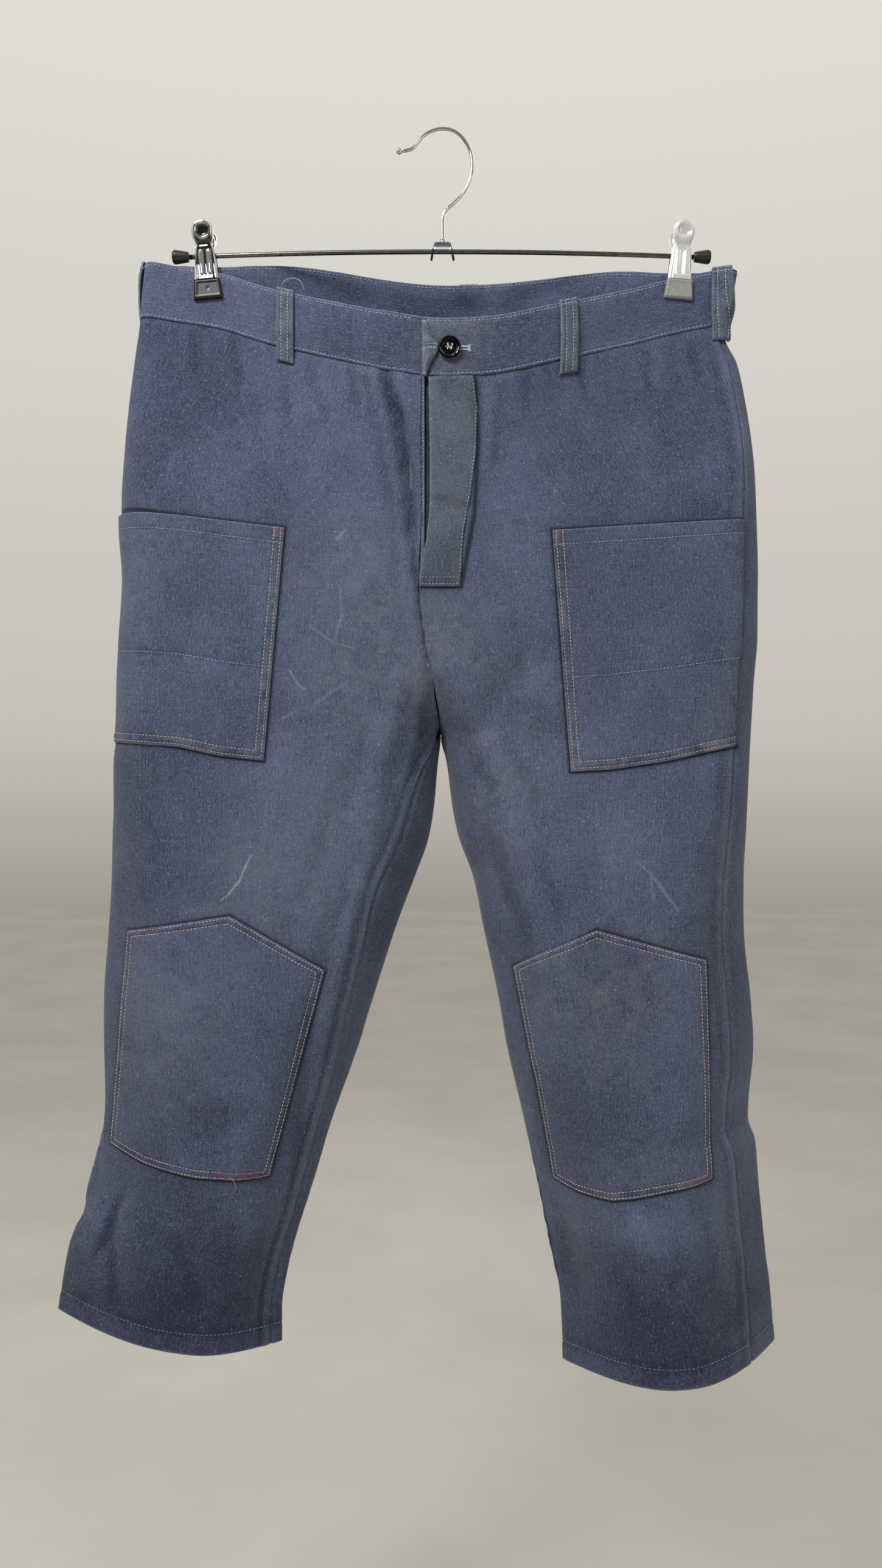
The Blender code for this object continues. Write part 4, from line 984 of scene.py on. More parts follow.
def thread(name, colour, second):
    """Cotton thread that goes from one colour to a second along it, a little fuzzy."""
    s = Shader(name)
    space = s.space()
    mixed = s.mix(s.ramp(s.noise(space, 160, 3.0, 0.6), 0.35, 0.65), colour, second)
    s.set(Base_Color=mixed, Roughness=0.85, Sheen_Weight=0.2)
    s.bump(s.noise(space, 2600, 2.0, 0.6), 0.4, 0.1 * MM)
    return s.material


# painted dark reflection: the colour that a mesh's mark darkens metal to
PAINTED_DARK_REFLECTION = (0.012, 0.012, 0.014, 1)  # what a mesh's mark darkens metal to


def metal(name, colour, low, high, scale=220.0, worn=0.9, metallic=1.0):
    """Polished metal with faint smears, its roughness from low to high, darkened to a painted dark reflection
    where its mesh is marked."""
    s = Shader(name)
    smear = s.noise(s.space(), scale, 4.0, 0.65)
    rough = s.spread(smear, 0.3, 0.7, low, high)
    shade = s.mix(s.ramp(smear, 0.3, 0.75), colour, tuple(v * worn for v in colour[:3]) + (1,))
    shade = s.mix(s.mark("tone"), shade, PAINTED_DARK_REFLECTION)
    s.set(Base_Color=shade, Metallic=metallic, Roughness=rough)
    return s.material


def rubbed_metal(name, dark, bare, centre):
    """Dark plated metal, rubbed down to bare metal in flecks along the lower rim and at the middle."""
    s = Shader(name)
    space = s.space()
    parts = s.node("ShaderNodeSeparateXYZ", {0: space}).outputs
    dx, dz = (s.math("SUBTRACT", parts[k], at * MM) for k, at in zip((0, 2), centre))
    radius = s.math("SQRT", s.math("MULTIPLY_ADD", dx, dx, s.math("MULTIPLY", dz, dz)))
    rim = s.math("MULTIPLY", s.ramp(radius, 5.0 * MM, 5.6 * MM), s.ramp(radius, 7.1 * MM, 6.6 * MM))
    rim = s.math("MULTIPLY", rim, s.ramp(dz, 3.0 * MM, -2.0 * MM))
    share = s.math("MAXIMUM", rim, s.math("MULTIPLY", s.ramp(radius, 3.6 * MM, 2.2 * MM), 0.75))
    flecks = s.ramp(s.math("MULTIPLY_ADD", share, 0.30, s.noise(space, 620, 3.0, 0.65)), 0.70, 0.78)
    s.set(Base_Color=s.mix(flecks, dark, bare), Metallic=1.0, Roughness=0.26)
    return s.material


def moulded(name, colour, light, roughness):
    """Rubber or plastic with fine grain, worn lighter where it is rubbed."""
    s = Shader(name)
    space = s.space()
    worn = s.ramp(s.noise(space, 420, 4.0, 0.7), 0.48, 0.75)
    s.set(Base_Color=s.mix(worn, colour, light), Roughness=roughness)
    s.bump(s.noise(space, 3200, 2.0, 0.6), 0.2, 0.08 * MM)
    return s.material


# Stitches

STITCH_SIDES = 5
STITCH_RINGS = np.array([-0.5, -0.4, -0.15, 0.15, 0.4, 0.5])  # along a stitch, as shares of its length
STITCH_SWELL = np.array([0.35, 0.8, 1.0, 1.0, 0.8, 0.35])  # its thickness at each
STITCH_RISE = np.array([-0.28, 0.02, 0.2, 0.2, 0.02, -0.28])  # and its height, as a share of its thickness


def stitch_row(points, normals, pitch, long, thick, seed, slant=0.0):
    """Verts and faces of stitches along a row of points: small pillows of thread that dip at both ends."""
    points = np.asarray(points, float)
    normals = np.asarray(normals, float)
    place = np.concatenate([[0], np.cumsum(np.linalg.norm(np.diff(points, axis=0), axis=1))])
    count = max(1, int(place[-1] / pitch))
    rng = np.random.RandomState(seed)
    sides = STITCH_SIDES
    verts, faces = [], []
    for k in range(count):
        middle = (k + 0.5) * place[-1] / count + rng.uniform(-0.12, 0.12)
        stretch = long * rng.uniform(0.9, 1.08)
        at = middle + STITCH_RINGS * stretch
        centre = np.stack([np.interp(at, place, points[:, i]) for i in range(3)], axis=1)
        out = np.stack([np.interp(at, place, normals[:, i]) for i in range(3)], axis=1)
        out /= np.linalg.norm(out, axis=1, keepdims=True)
        along = centre[-1] - centre[0]
        along /= max(np.linalg.norm(along), 1e-9)
        side = np.cross(out, along)
        side /= np.linalg.norm(side, axis=1, keepdims=True)
        turn = slant + rng.uniform(-0.05, 0.05)
        centre = centre + side * (STITCH_RINGS * stretch * turn)[:, None]
        first = len(verts)
        for spot, up, across, rise, swell in zip(centre, out, side, STITCH_RISE * thick, STITCH_SWELL):
            for i in range(sides):
                angle = 2 * math.pi * i / sides
                high = rise + 0.42 * thick * swell * math.cos(angle)
                verts.append(spot + up * high + across * (0.5 * thick * swell * math.sin(angle)))
        for ring in range(len(STITCH_RINGS) - 1):
            for i in range(sides):
                a, b = first + ring * sides + i, first + ring * sides + (i + 1) % sides
                faces.append((a, b, b + sides, a + sides))
        faces.append(tuple(range(first + sides - 1, first - 1, -1)))
        last = first + (len(STITCH_RINGS) - 1) * sides
        faces.append(tuple(range(last, last + sides)))
    return verts, faces


class Rows:
    """Stitch rows of one thread, gathered into one piece. Each row has its own seed."""

    def __init__(self, name, made_of, slot, thick):
        self.name, self.made_of, self.slot, self.thick = name, made_of, slot, thick
        self.verts, self.faces, self.seed = [], [], 11

    def add(self, points, normals, pitch, long, slant=0.0):
        self.seed += 1
        verts, faces = stitch_row(points, normals, pitch, long, self.thick, self.seed, slant)
        first = len(self.verts)
        self.verts += verts
        self.faces += [tuple(i + first for i in face) for face in faces]

    def lay(self, sheet, at, above, pitch, long, slant=0.0):
        """Stitches along one line of a sheet's grid. The sheet is its points, normals and lift."""
        points, normals, lift = (values[at] for values in sheet)
        self.add(points + normals * (lift + above)[:, None], normals, pitch, long, slant)

    def make(self):
        fix_normals(piece(self.name, self.verts, self.faces, self.made_of))


def fix_normals(made):
    """Turns all faces of a piece outward."""
    mesh = bmesh.new()
    mesh.from_mesh(made.data)
    bmesh.ops.recalc_face_normals(mesh, faces=mesh.faces[:])
    mesh.to_mesh(made.data)
    mesh.free()


def on_cloth(skin, face, places, levels, lift):
    """Points and normals on top of the creased cloth."""
    points, normals = skin.at(places, levels), skin.normal(places, levels)
    return points + normals * (relief(skin, face, places, levels) + lift)[..., None], normals


# Panels

VALLEY_SHADE = 0.075  # how much a mm of a crease's depth darkens the cloth
SEAM_GROOVE = 8.6  # how far in from an inseam the groove beside its allowance lies


def panel(half, face, made_of):
    """A leg panel from under the waistband to the hem, its hem turned up inside."""
    skin = SKINS[half.name]
    levels = SEAM - TUCKED + crowded(half.hem - SEAM + TUCKED, WEAVE_STEP)
    seen = np.linspace(SEAM, half.hem, 60)
    seams = np.array([half.seams(face, level) for level in seen])
    starts, ends = (np.interp(levels, seen, seams[:, k]) for k in (0, 1))
    wide = float(np.abs(ends - starts).mean())
    share = crowded(wide, WEAVE_STEP) / wide
    under = SEAM_UNDER if face == "back" else 0.0
    sense = 1 if face == "front" else -1
    first, last = starts - sense * under, ends + sense * under
    last = np.where(levels > FORK, last, ends)
    places = first[:, None] + (last - first)[:, None] * share
    level = np.broadcast_to(levels[:, None], places.shape)
    points, normals = skin.at(places, level), skin.normal(places, level)
    if (half, face) == (RIGHT, "front"):
        held = ease((level + FLY_FOOT + 2) / 8) * (1 - ease((level - 400) / 34))
        under_left = held * ease((places - ends[:, None] + 3.5) / 3.5)
        points = points + under_left[..., None] * [4.0, 2.3, 0]
    lift = relief(skin, face, places, level)
    from_start = np.abs(places - starts[:, None])
    from_end = np.abs(places - ends[:, None])
    inside = (places - starts[:, None]) * sense >= 0
    seam = np.minimum(from_start, np.where(level > FORK, from_end, 99))
    tone, warm = wear_and_shade(face, points[..., 0], points[..., 2], 31 if half is RIGHT else 41)
    tone = tone - VALLEY_SHADE * np.clip(-lift - 1.3, 0, 3.2)
    if face == "front":
        groove = dip(from_end - SEAM_GROOVE, 1.8) * (level > FORK)
        # painted shade: darker in the inseam's groove and in a line along the outseam's edge
        tone = tone - 0.17 * groove - 0.30 * dip(from_start - 0.3, 0.9)
        lift = lift + 0.55 * dip(seam - 4.2, 2.4) - 0.40 * groove
        lift = lift + roll(seam, 1.6, 0.9)
    else:
        lift = lift - 1.5 * np.exp(-np.where(inside, seam, 0) / 1.2)
    lift = lift - 1.5 * ease((SEAM + 1.2 - level) / 1.4)
    hem_edge = half.hem - level
    lift = lift + roll(hem_edge, 1.3, 0.6) + 0.35 * ease((HEM_ROW - hem_edge) / 2.0)
    lift = lift - 0.35 * dip(hem_edge - HEM_ROW, 1.6)
    thick = CLOTH + 0.9 * ease((HEM_ROW + 1 - hem_edge) / 1.0)
    inner = lift - np.where(hem_edge < 1, np.minimum(thick, 1.0), thick)
    # ridges come out lighter as wear, and hollows darker as painted shade
    slope = np.gradient(np.gradient(lift, axis=1), axis=1)
    tone = tone - np.clip(slope * 0.8, -0.04, 0.10)
    # lighter along the front's raised seams as wear; the back is darker beside its seams as painted shade
    tone = tone + 0.12 * dip(seam - 3.2, 2.0) * (1 if face == "front" else 0)
    tone = tone - 0.10 * dip(seam - 7.0, 2.5) * (face == "back")
    # painted shade: darker towards the hem
    tone = tone - 0.12 * ease((level - 770) / 120)
    # roped wear lightens the hem's fold; the darker line above its stitch row is painted shade
    rope = 0.5 + 0.5 * bumps(points[..., 0] / 9, points[..., 2] / 6, 77)
    tone = tone + 0.10 * rope * dip(hem_edge - 7, 5) - 0.12 * dip(hem_edge - HEM_ROW - 2, 3)
    edge = 0.55 * dip(hem_edge, 1.2) + 0.18 * dip(seam - 1.0, 0.9)
    made = shell(f"{half.name}_{face}_cloth", points, normals, lift, inner, made_of, "cloth_panels",
                 places, level, tone=tone, warm=warm, edge=edge)
    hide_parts(f"{half.name}_{face}")


# What lies on the front panels

class Patch:
    """A piece sewn on a front panel between a top and a foot line. Both are (x, z) points that run from
    the leg's outer side inward, and an x of None is the panel's own edge. Its sides are straight in the
    front view, or follow that edge."""

    def __init__(self, half, top, foot):
        self.half, self.skin = half, SKINS[half.name]
        levels = np.linspace(SEAM, 520, 60)
        seams = np.array([half.seams("front", level) for level in levels])
        self.top, self.foot, self.sides = [], [], []
        for end in (0, -1):
            (x0, z0), (x1, z1) = top[end], foot[end]
            if x0 is None:
                z, places = self.skin.at(seams[:, end], levels)[:, 2][::-1], seams[::-1, end]
            else:
                z = np.linspace(z1, z0, 24)
                places = self.skin.place_of("front", np.interp(z, (z1, z0), (x1, x0)), z)
            self.sides.append((z, places))
        for line, corners in ((self.top, top), (self.foot, foot)):
            for i, (x, z) in enumerate(corners):
                side = self.sides[0 if i == 0 else -1]
                place = np.interp(z, *side) if x is None else self.skin.place_of("front", x, z)
                line.append((float(place), z))
        self.top, self.foot = np.array(self.top), np.array(self.foot)
        self.shares = self.run(self.top) / self.run(self.top)[-1]

    def run(self, corners):
        """The distance along a line of corners."""
        return np.concatenate([[0], np.cumsum(np.linalg.norm(np.diff(corners, axis=0), axis=1))])

    def spot(self, u, v):
        """(place, z) at a share of the way across and down."""
        made = self.ruled(u, v)
        for end, share in ((0.0, 1 - u), (1.0, u)):
            side = self.ruled(np.full_like(u, end), v)
            made[..., 0] += (np.interp(side[..., 1], *self.sides[int(end)]) - side[..., 0]) * share
        return made

    def ruled(self, u, v):
        """The same between straight sides."""
        ends = []
        for corners in (self.top, self.foot):
            run = self.run(corners)
            at = u * run[-1]
            ends.append(np.stack([np.interp(at, run, corners[:, k]) for k in (0, 1)], axis=-1))
        return ends[0] * (1 - v[..., None]) + ends[1] * v[..., None]

    def size(self):
        """Its width and height along its middle lines."""
        middles = ((0.5, 0), (0.5, 1), (0, 0.5), (1, 0.5))
        top, foot, start, end = (self.spot(np.array(u, float), np.array(v, float)) for u, v in middles)
        return float(np.hypot(*(end - start))), float(np.hypot(*(foot - top)))


SEWN_PITCH = 2.65  # from stitch to stitch
MEND_PITCH = 1.4
HEM_PITCH = 2.6
NOT_MENDED = (2, 2)  # past the end of a side
SEWN_FINE = (0, 0.35, 0.9, 1.5, 2.1, 2.8, 3.7, 4.8, 5.7, 6.7, 7.6, 9.2)  # rows of the mesh near an edge


def sewn_on(name, patch, made_of, slot, sewn, rows, side_thread, stand=0.0, bows=0.0, grime=0.5, seed=50,
            mid_rows=(), mid_thread=None, mended=None, mend_thread=None):
    """A patch's cloth and its stitches. sewn names its stitched sides, rows how far in from them the
    stitches are, and mid_rows the shares of the way down where a row goes across. mended gives the
    stretch of a side, as two shares of its length, that was sewn again in another thread."""
    wide, high = patch.size()
    u = np.unique(np.concatenate([crowded(wide, SEWN_STEP, SEWN_FINE) / wide, patch.shares]))
    v = np.unique(np.concatenate([crowded(high, SEWN_STEP, SEWN_FINE) / high, mid_rows]))
    across, down = u * wide, v * high
    v, u = np.meshgrid(v, u, indexing="ij")
    spot = patch.spot(u, v)
    level = patch.skin.level_at(spot[..., 0], spot[..., 1])
    places = spot[..., 0]
    points, normals = patch.skin.at(places, level), patch.skin.normal(places, level)
    base = relief(patch.skin, "front", places, level)
    sides = {"outer": u * wide, "inner": (1 - u) * wide, "top": v * high, "foot": (1 - v) * high}
    every = np.minimum.reduce(list(sides.values()))
    held = np.minimum.reduce([sides[side] for side in sewn])
    lift = base + GAP + PATCH_CLOTH + roll(every, 1.1, 0.75)
    tone, warm = wear_and_shade("front", points[..., 0], points[..., 2], seed)
    for row in rows:
        lift = lift - 0.42 * dip(held - row, 0.75)
        # painted shade in each stitch row's groove
        tone = tone - 0.16 * dip(held - row, 0.8)
    between = (rows[0] + rows[-1]) / 2
    puckers = bumps(places / 3.4, points[..., 2] / 3.4, seed + 5)
    lift = lift + 0.30 * dip(held - between, 1.6) + 0.26 * puckers * dip(held - between, 3)
    for share in mid_rows:
        lift = lift - 0.35 * dip((v - share) * high, 0.9)
        # painted shade in each cross row's groove
        tone = tone - 0.12 * dip((v - share) * high, 1.2)
    lift = lift + stand * np.sin(math.pi * u) * ease(1 - v * 3)
    lift = lift + bows * np.sin(math.pi * u) * np.sin(math.pi * v)
    lift = lift + 0.35 * bumps(places / 30, points[..., 2] / 24, seed + 6) * ease(held / 14)
    band = ease((rows[-1] + 1.6 - held) / 2.0)
    # grime greys and darkens the sewn band; the puckers' hollows are darker and their tops lighter as painted
    # shade
    warm = warm + grime * band
    tone = tone - (0.15 - 0.12 * puckers) * band
    edge = 0.45 * dip(every, 0.7)
    if "outer" not in sewn:
        # painted shadow: a dark line along the side that ends at the panel's seam
        tone = tone - 0.34 * dip(u * wide - 0.3, 0.9)
    inner = np.maximum(lift - PATCH_CLOTH, base + 0.12)
    made = shell(name + "_cloth", points, normals, lift, inner, made_of, slot, places, level,
                 tone=tone, warm=warm, edge=edge)
    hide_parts(name)
    sheet = points, normals, lift
    for inset in rows:
        top = int(np.abs(down - inset).argmin()) if "top" in sewn else 1
        foot = int(np.abs(high - down - inset).argmin())
        outer = int(np.abs(across - inset).argmin()) if "outer" in sewn else 1
        inner_line = int(np.abs(wide - across - inset).argmin())
        over, along = np.arange(outer, inner_line + 1), np.arange(top, foot + 1)
        lines = {"outer": (along, outer), "inner": (along, inner_line)}
        lines.update({"top": (over, top), "foot": (over, foot)})
        for side, (line, across_at) in lines.items():
            if side not in sewn:
                continue
            upright = side in ("outer", "inner")
            share = down / high if upright else across / wide
            low, end = (mended or {}).get(side, NOT_MENDED)
            again = line[(share[line] >= low) & (share[line] <= end)]
            first = line[line <= again[0]] if len(again) else line
            rest = line[line >= again[-1]] if len(again) else line[:0]
            stretches = (
                (first, side_thread, SEWN_PITCH),
                (rest, side_thread, SEWN_PITCH),
                (again, mend_thread, MEND_PITCH),
            )
            for chosen, rows_of, pitch in stretches:
                if len(chosen) > 1:
                    at = (chosen, across_at) if upright else (across_at, chosen)
                    rows_of.lay(sheet, at, 0.14, pitch, pitch * 0.76)
    for share in mid_rows:
        at = int(np.abs(v[:, 0] - share).argmin()), slice(1, -1)
        mid_thread.lay(sheet, at, 0.14, HEM_PITCH, HEM_PITCH * 0.76)


# Waistband

# The waistband's way, round the back from behind the fly to its other end: each stretch is a leg, a face,
# and whether it runs against the order of the places
BAND_PATH = (
    ("right", "front", True), ("right", "back", False), ("left", "back", True), ("left", "front", False),
)
BAND_STEP = 2.4
BAND_PITCH, BAND_LONG = 3.05, 2.25  # from stitch to stitch, and a stitch's length
BAND_FINE = (0, 0.3, 0.8, 1.4, 2.0, 2.8, 3.6)  # rows of the mesh near an edge
LAP = (26, -8)  # where the button end runs behind the left front, as x
LAP_COLUMNS = 16
LAP_IN = BAND_CLOTH + 0.6  # how far behind it lies


def band_grid(levels):
    """Points and normals over the waistband."""
    xs = np.linspace(*LAP, LAP_COLUMNS)
    hidden = np.zeros((len(levels), len(xs), 3))
    for i, level in enumerate(levels):
        places = np.array([LEFT.place_at("front", x, level) for x in xs])
        hidden[i] = SKINS["left"].at(places, np.full(len(xs), level)) + [0, LAP_IN, 0]
    stretches = [(hidden, facing(hidden))]
    for name, face, backward in BAND_PATH:
        skin = SKINS[name]
        bounds = np.array([skin.half.seams(face, level) for level in levels])
        count = round(abs(bounds[0, 1] - bounds[0, 0]) / BAND_STEP)
        share = np.linspace(0, 1, count)
        if backward:
            share = share[::-1]
        places = bounds[:, :1] + (bounds[:, 1:] - bounds[:, :1]) * share
        level = np.broadcast_to(levels[:, None], places.shape)
        points, normals = skin.at(places, level), skin.normal(places, level)
        if (name, face) == ("right", "front"):
            tuck = LAP_IN * ease((points[..., 0] + 17) / 5.5)
            points = points - normals * tuck[..., None]
        stretches.append((points[:, 1:], normals[:, 1:]))
    points = np.concatenate([s[0] for s in stretches], axis=1)
    normals = np.concatenate([s[1] for s in stretches], axis=1)
    for _ in range(2):
        normals[:, 1:-1] = normals[:, :-2] + 2 * normals[:, 1:-1] + normals[:, 2:]
        normals /= np.linalg.norm(normals, axis=2, keepdims=True)
    return points, normals


def band_lift(run, drop):
    """How far the waistband's outer face is lifted: quilted between its stitch rows and a bit wavy."""
    high = SEAM - BAND_TOP
    foot = high - drop
    lift = 0.30 + 0.25 * np.sin(math.pi * np.clip(drop / high, 0, 1))
    lift = lift - 0.40 * dip(drop - BAND_TOP_ROW, 0.9) - 0.40 * dip(foot - BAND_FOOT_ROW, 0.9)
    lift = lift + 0.30 * bumps(run / 16, drop / 26, 61) + 0.14 * bumps(run / 5.2, drop / 9, 62)
    lift = lift + 0.16 * bumps(run / 3.1, drop * 0 + 1, 63) * (dip(drop - 1.5, 2.0) + dip(foot - 1.5, 2.0))
    return lift


def waistband(made_of, pale):
    """The waistband, with a row of stitches along its top and foot and one inside."""
    levels = BAND_TOP + crowded(SEAM - BAND_TOP, BAND_STEP, BAND_FINE)
    points, normals = band_grid(levels)
    run = np.concatenate([[0], np.cumsum(np.linalg.norm(np.diff(points[8], axis=0), axis=1))])
    run = np.broadcast_to(run, points.shape[:2])
    drop = np.broadcast_to((levels - BAND_TOP)[:, None], run.shape)
    foot = SEAM - BAND_TOP - drop
    lift = band_lift(run, drop) + roll(drop, 1.5, 1.2) + roll(foot, 0.9, 0.5)
    ends = np.minimum(run, run.max() - run)
    lift = lift + roll(ends, 1.0, 0.5)
    inner = -BAND_CLOTH + 0.15 * bumps(run / 12, drop / 14, 64) - roll(drop, 1.5, 1.0)
    inner = inner + 0.35 * dip(drop - BAND_TOP_ROW, 0.9)
    tone, warm = wear_and_shade("none", run * 0.9, drop - 60, 65)
    # lighter along the folded edges as wear; darker along the stitch rows' grooves as painted shade
    tone = tone * 1.2 + 0.10 * dip(drop, 3) + 0.08 * dip(foot, 3) - 0.14 * dip(drop - BAND_TOP_ROW, 1.0)
    tone = tone - 0.14 * dip(foot - BAND_FOOT_ROW, 1.0)
    warm = warm + 0.55 * dip(points[..., 0] - 6, 26) * (points[..., 1] < 0)
    edge = 0.75 * dip(drop, 1.1) + 0.40 * dip(foot, 0.8)
    ragged = 0.5 + 0.5 * bumps(run / 2.2, drop / 3, 66)
    edge = edge + 0.22 * ragged * (dip(drop - 3, 2.0) + dip(foot - 2.4, 2.0))
    made = shell("waistband_cloth", points, normals, lift, inner, made_of, "cloth_waistband", -drop, run,
                 tone=tone, warm=warm, edge=edge)
    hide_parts("waistband")
    rows = Rows("waistband_stitches", pale, "cloth_waistband", 1.0)
    shown = slice(LAP_COLUMNS + 2, -1)
    top_row, foot_row = levels.searchsorted([BAND_TOP + BAND_TOP_ROW, SEAM - BAND_FOOT_ROW])
    for k in (top_row, foot_row):
        rows.lay((points, normals, lift), (k, shown), 0.10, BAND_PITCH, BAND_LONG, 0.06)
    rows.lay((points, -normals, -inner), (top_row, shown), 0.10, BAND_PITCH, BAND_LONG, 0.06)
    rows.make()


# Fly, belt loops and button

def waistband_end(made_of, pale):
    """The folded end of the waistband, drawn to a point by the button and creased towards it."""
    place = LEFT.place_at("front", -8, BUTTON_LEVEL)
    surface = float(SKINS["left"].at(np.array(place), np.array(BUTTON_LEVEL))[1])
    down, across = np.meshgrid(np.linspace(0, 1, 45), np.linspace(0, 1, 15), indexing="ij")
    z = END_TOP + (END_FOOT - END_TOP) * down
    near = 1 - np.abs(z - END_MIDDLE) / (END_MIDDLE - END_FOOT)
    right = END_LEFT + END_NARROW + (END_TIP - END_LEFT - END_NARROW) * np.maximum(0, near) ** 1.5
    ragged = 0.25 * bumps(z / 1.6, z * 0 + 3, 90)
    x = END_LEFT + (right + ragged - END_LEFT) * across
    points = np.stack([x, np.full_like(x, surface - 0.6), z], axis=2)
    normals = facing(points)
    pinch = dip(z - END_MIDDLE, 2.4)
    bulge = 1.8 + 2.2 * np.sin(math.pi * down) * (1 - 0.6 * pinch)
    lift = 1.0 + bulge * np.sin(math.pi * (0.10 + 0.80 * across))
    fan = np.sin(np.arctan2(z - END_MIDDLE, END_TIP + 4 - x) * END_CREASES)
    lift = lift + 0.50 * fan * ease(across * 2.2) + 0.25 * bumps(x / 2.4, z / 2.4, 91)
    lift = lift + 1.2 * dip(across - 0.12, 0.14) * (1 - pinch)
    tips = dip(z - END_TOP, 3.0) + dip(z - END_FOOT, 3.0)
    tone = 0.34 + 0.18 * bumps(x / 3, z / 5, 92) + 0.50 * tips
    # painted shade: darker in the creases' valleys
    tone = tone - 0.36 * dip(fan + 1, 0.5) * ease(across * 3)
    edge = 0.55 * dip(across - 0.02, 0.05) + 0.6 * tips + 0.35 * dip(across - 1, 0.08)
    made = shell("waistband_end_cloth", points, normals, lift, lift * 0 + 0.1, made_of, "cloth_fly",
                 tone=tone, warm=np.full_like(tone, 0.4), edge=edge)
    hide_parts("waistband_end")
    rows = Rows("waistband_end_stitches", pale, "cloth_fly", 0.6)

    def stitches(height, start, end, count, pitch, long, slant):
        """A row across the cloth at this height, between two shares of its width."""
        i = round((END_TOP - height) / (END_TOP - END_FOOT) * (len(points) - 1))
        j = np.round(np.linspace(start, end, count) * (points.shape[1] - 1)).astype(int)
        rows.lay((points, normals, lift), (i, j), 0.08, pitch, long, slant)

    for height, start, end in ((-178.6, 0.10, 0.95), (-181.2, 0.12, 0.95), (-179.9, 0.3, 0.98)):
        stitches(height, start, end, 12, 1.7, 1.6, 0.1)
    for height in (-161.6, -162.6, -198.6):
        stitches(height, 0.0, 0.9, 5, 1.1, 1.3, 0.5)
    rows.make()


def fly(made_of, thread_of):
    """The placket on the left front's edge, and the strip behind the opening."""
    rows = Rows("fly_stitches", thread_of, "cloth_fly", 0.7)
    fly_placket(made_of, rows)
    fly_underlap(made_of, rows)
    rows.make()


def fly_placket(made_of, rows):
    """The strip on the left front's edge, with a bar of stitches at its foot."""
    placket = Patch(LEFT, *PLACKET)
    wide, high = placket.size()
    v, u = np.meshgrid(crowded(high, 2.4) / high, crowded(wide, 1.8) / wide, indexing="ij")
    spot = placket.spot(u, v)
    level = placket.skin.level_at(spot[..., 0], spot[..., 1])
    places = spot[..., 0] + smooth(PLACKET_BEND, v * high) * (1 - u)
    points, normals = placket.skin.at(places, level), placket.skin.normal(places, level)
    base = relief(placket.skin, "front", places, level)
    across, down = u * wide, v * high
    free = (1 - u) * wide
    lift = base + GAP + PATCH_CLOTH + roll(np.minimum(free, high - down), 1.0, 0.7)
    lift = lift + 0.5 * bumps(places / 14, points[..., 2] / 20, 71)
    lift = lift + 0.9 * dip(free - 5, 6) * ease(1 - down / 130)
    lift = lift - 1.4 * dip(down, 1.4) - 0.6 * dip(across, 1.0)
    lift = lift + 0.25 * bumps(places * 0 + 4, down / 4.5, 72) * dip(across - 1, 4)
    lift = lift - 0.45 * (dip(high - down - BAR_ROWS[1], 0.8) + dip(high - down - BAR_ROWS[0], 0.8))
    crease = down - PLACKET_CREASE + 0.3 * (across - 16)
    lift = lift - 0.9 * dip(crease, 2.6) + 0.7 * dip(crease + 7, 4)
    tone = wear_and_shade("front", points[..., 0], points[..., 2], 70)[0]
    # lighter along the free edge as wear; darker round the bar of stitches as painted shade
    tone = tone - 0.04 + 0.14 * dip(free, 1.6) + 0.08 * dip(down - 40, 30) - 0.14 * dip(high - down - 4, 5)
    tone = tone - 0.12 * bumps(places / 6, points[..., 2] / 14, 73) * 0.6
    # painted shade: darker in the crease and down the lower part
    tone = tone - 0.10 * dip(down - PLACKET_CREASE, 9) * dip(across - wide / 2, 9)
    tone = tone - 0.10 * ease((down - 116) / 20)
    warm = 0.20 + 0.15 * bumps(places / 20, points[..., 2] / 30, 74)
    edge = 0.30 * dip(free, 0.9) + 0.35 * dip(high - down, 0.6)
    inner = np.maximum(lift - PATCH_CLOTH, base + 0.1)
    made = shell("fly_placket_cloth", points, normals, lift, inner, made_of, "cloth_fly", places, level,
                 tone=tone, warm=warm, edge=edge)
    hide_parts("fly_placket")

    def stitches(i, j, pitch):
        rows.lay((points, normals, lift), (i, j), 0.16, pitch, pitch * 0.74)

    bar_top, bar_foot = (int(np.abs(high - down[:, 0] - inset).argmin()) for inset in BAR_ROWS)
    stitches(slice(1, bar_top + 1), 2, 2.7)
    for i in (bar_top, bar_foot):
        stitches(i, slice(2, -2), 2.3)
    for j in (3, -3):
        stitches(slice(bar_top, bar_foot + 1), j, 2.0)


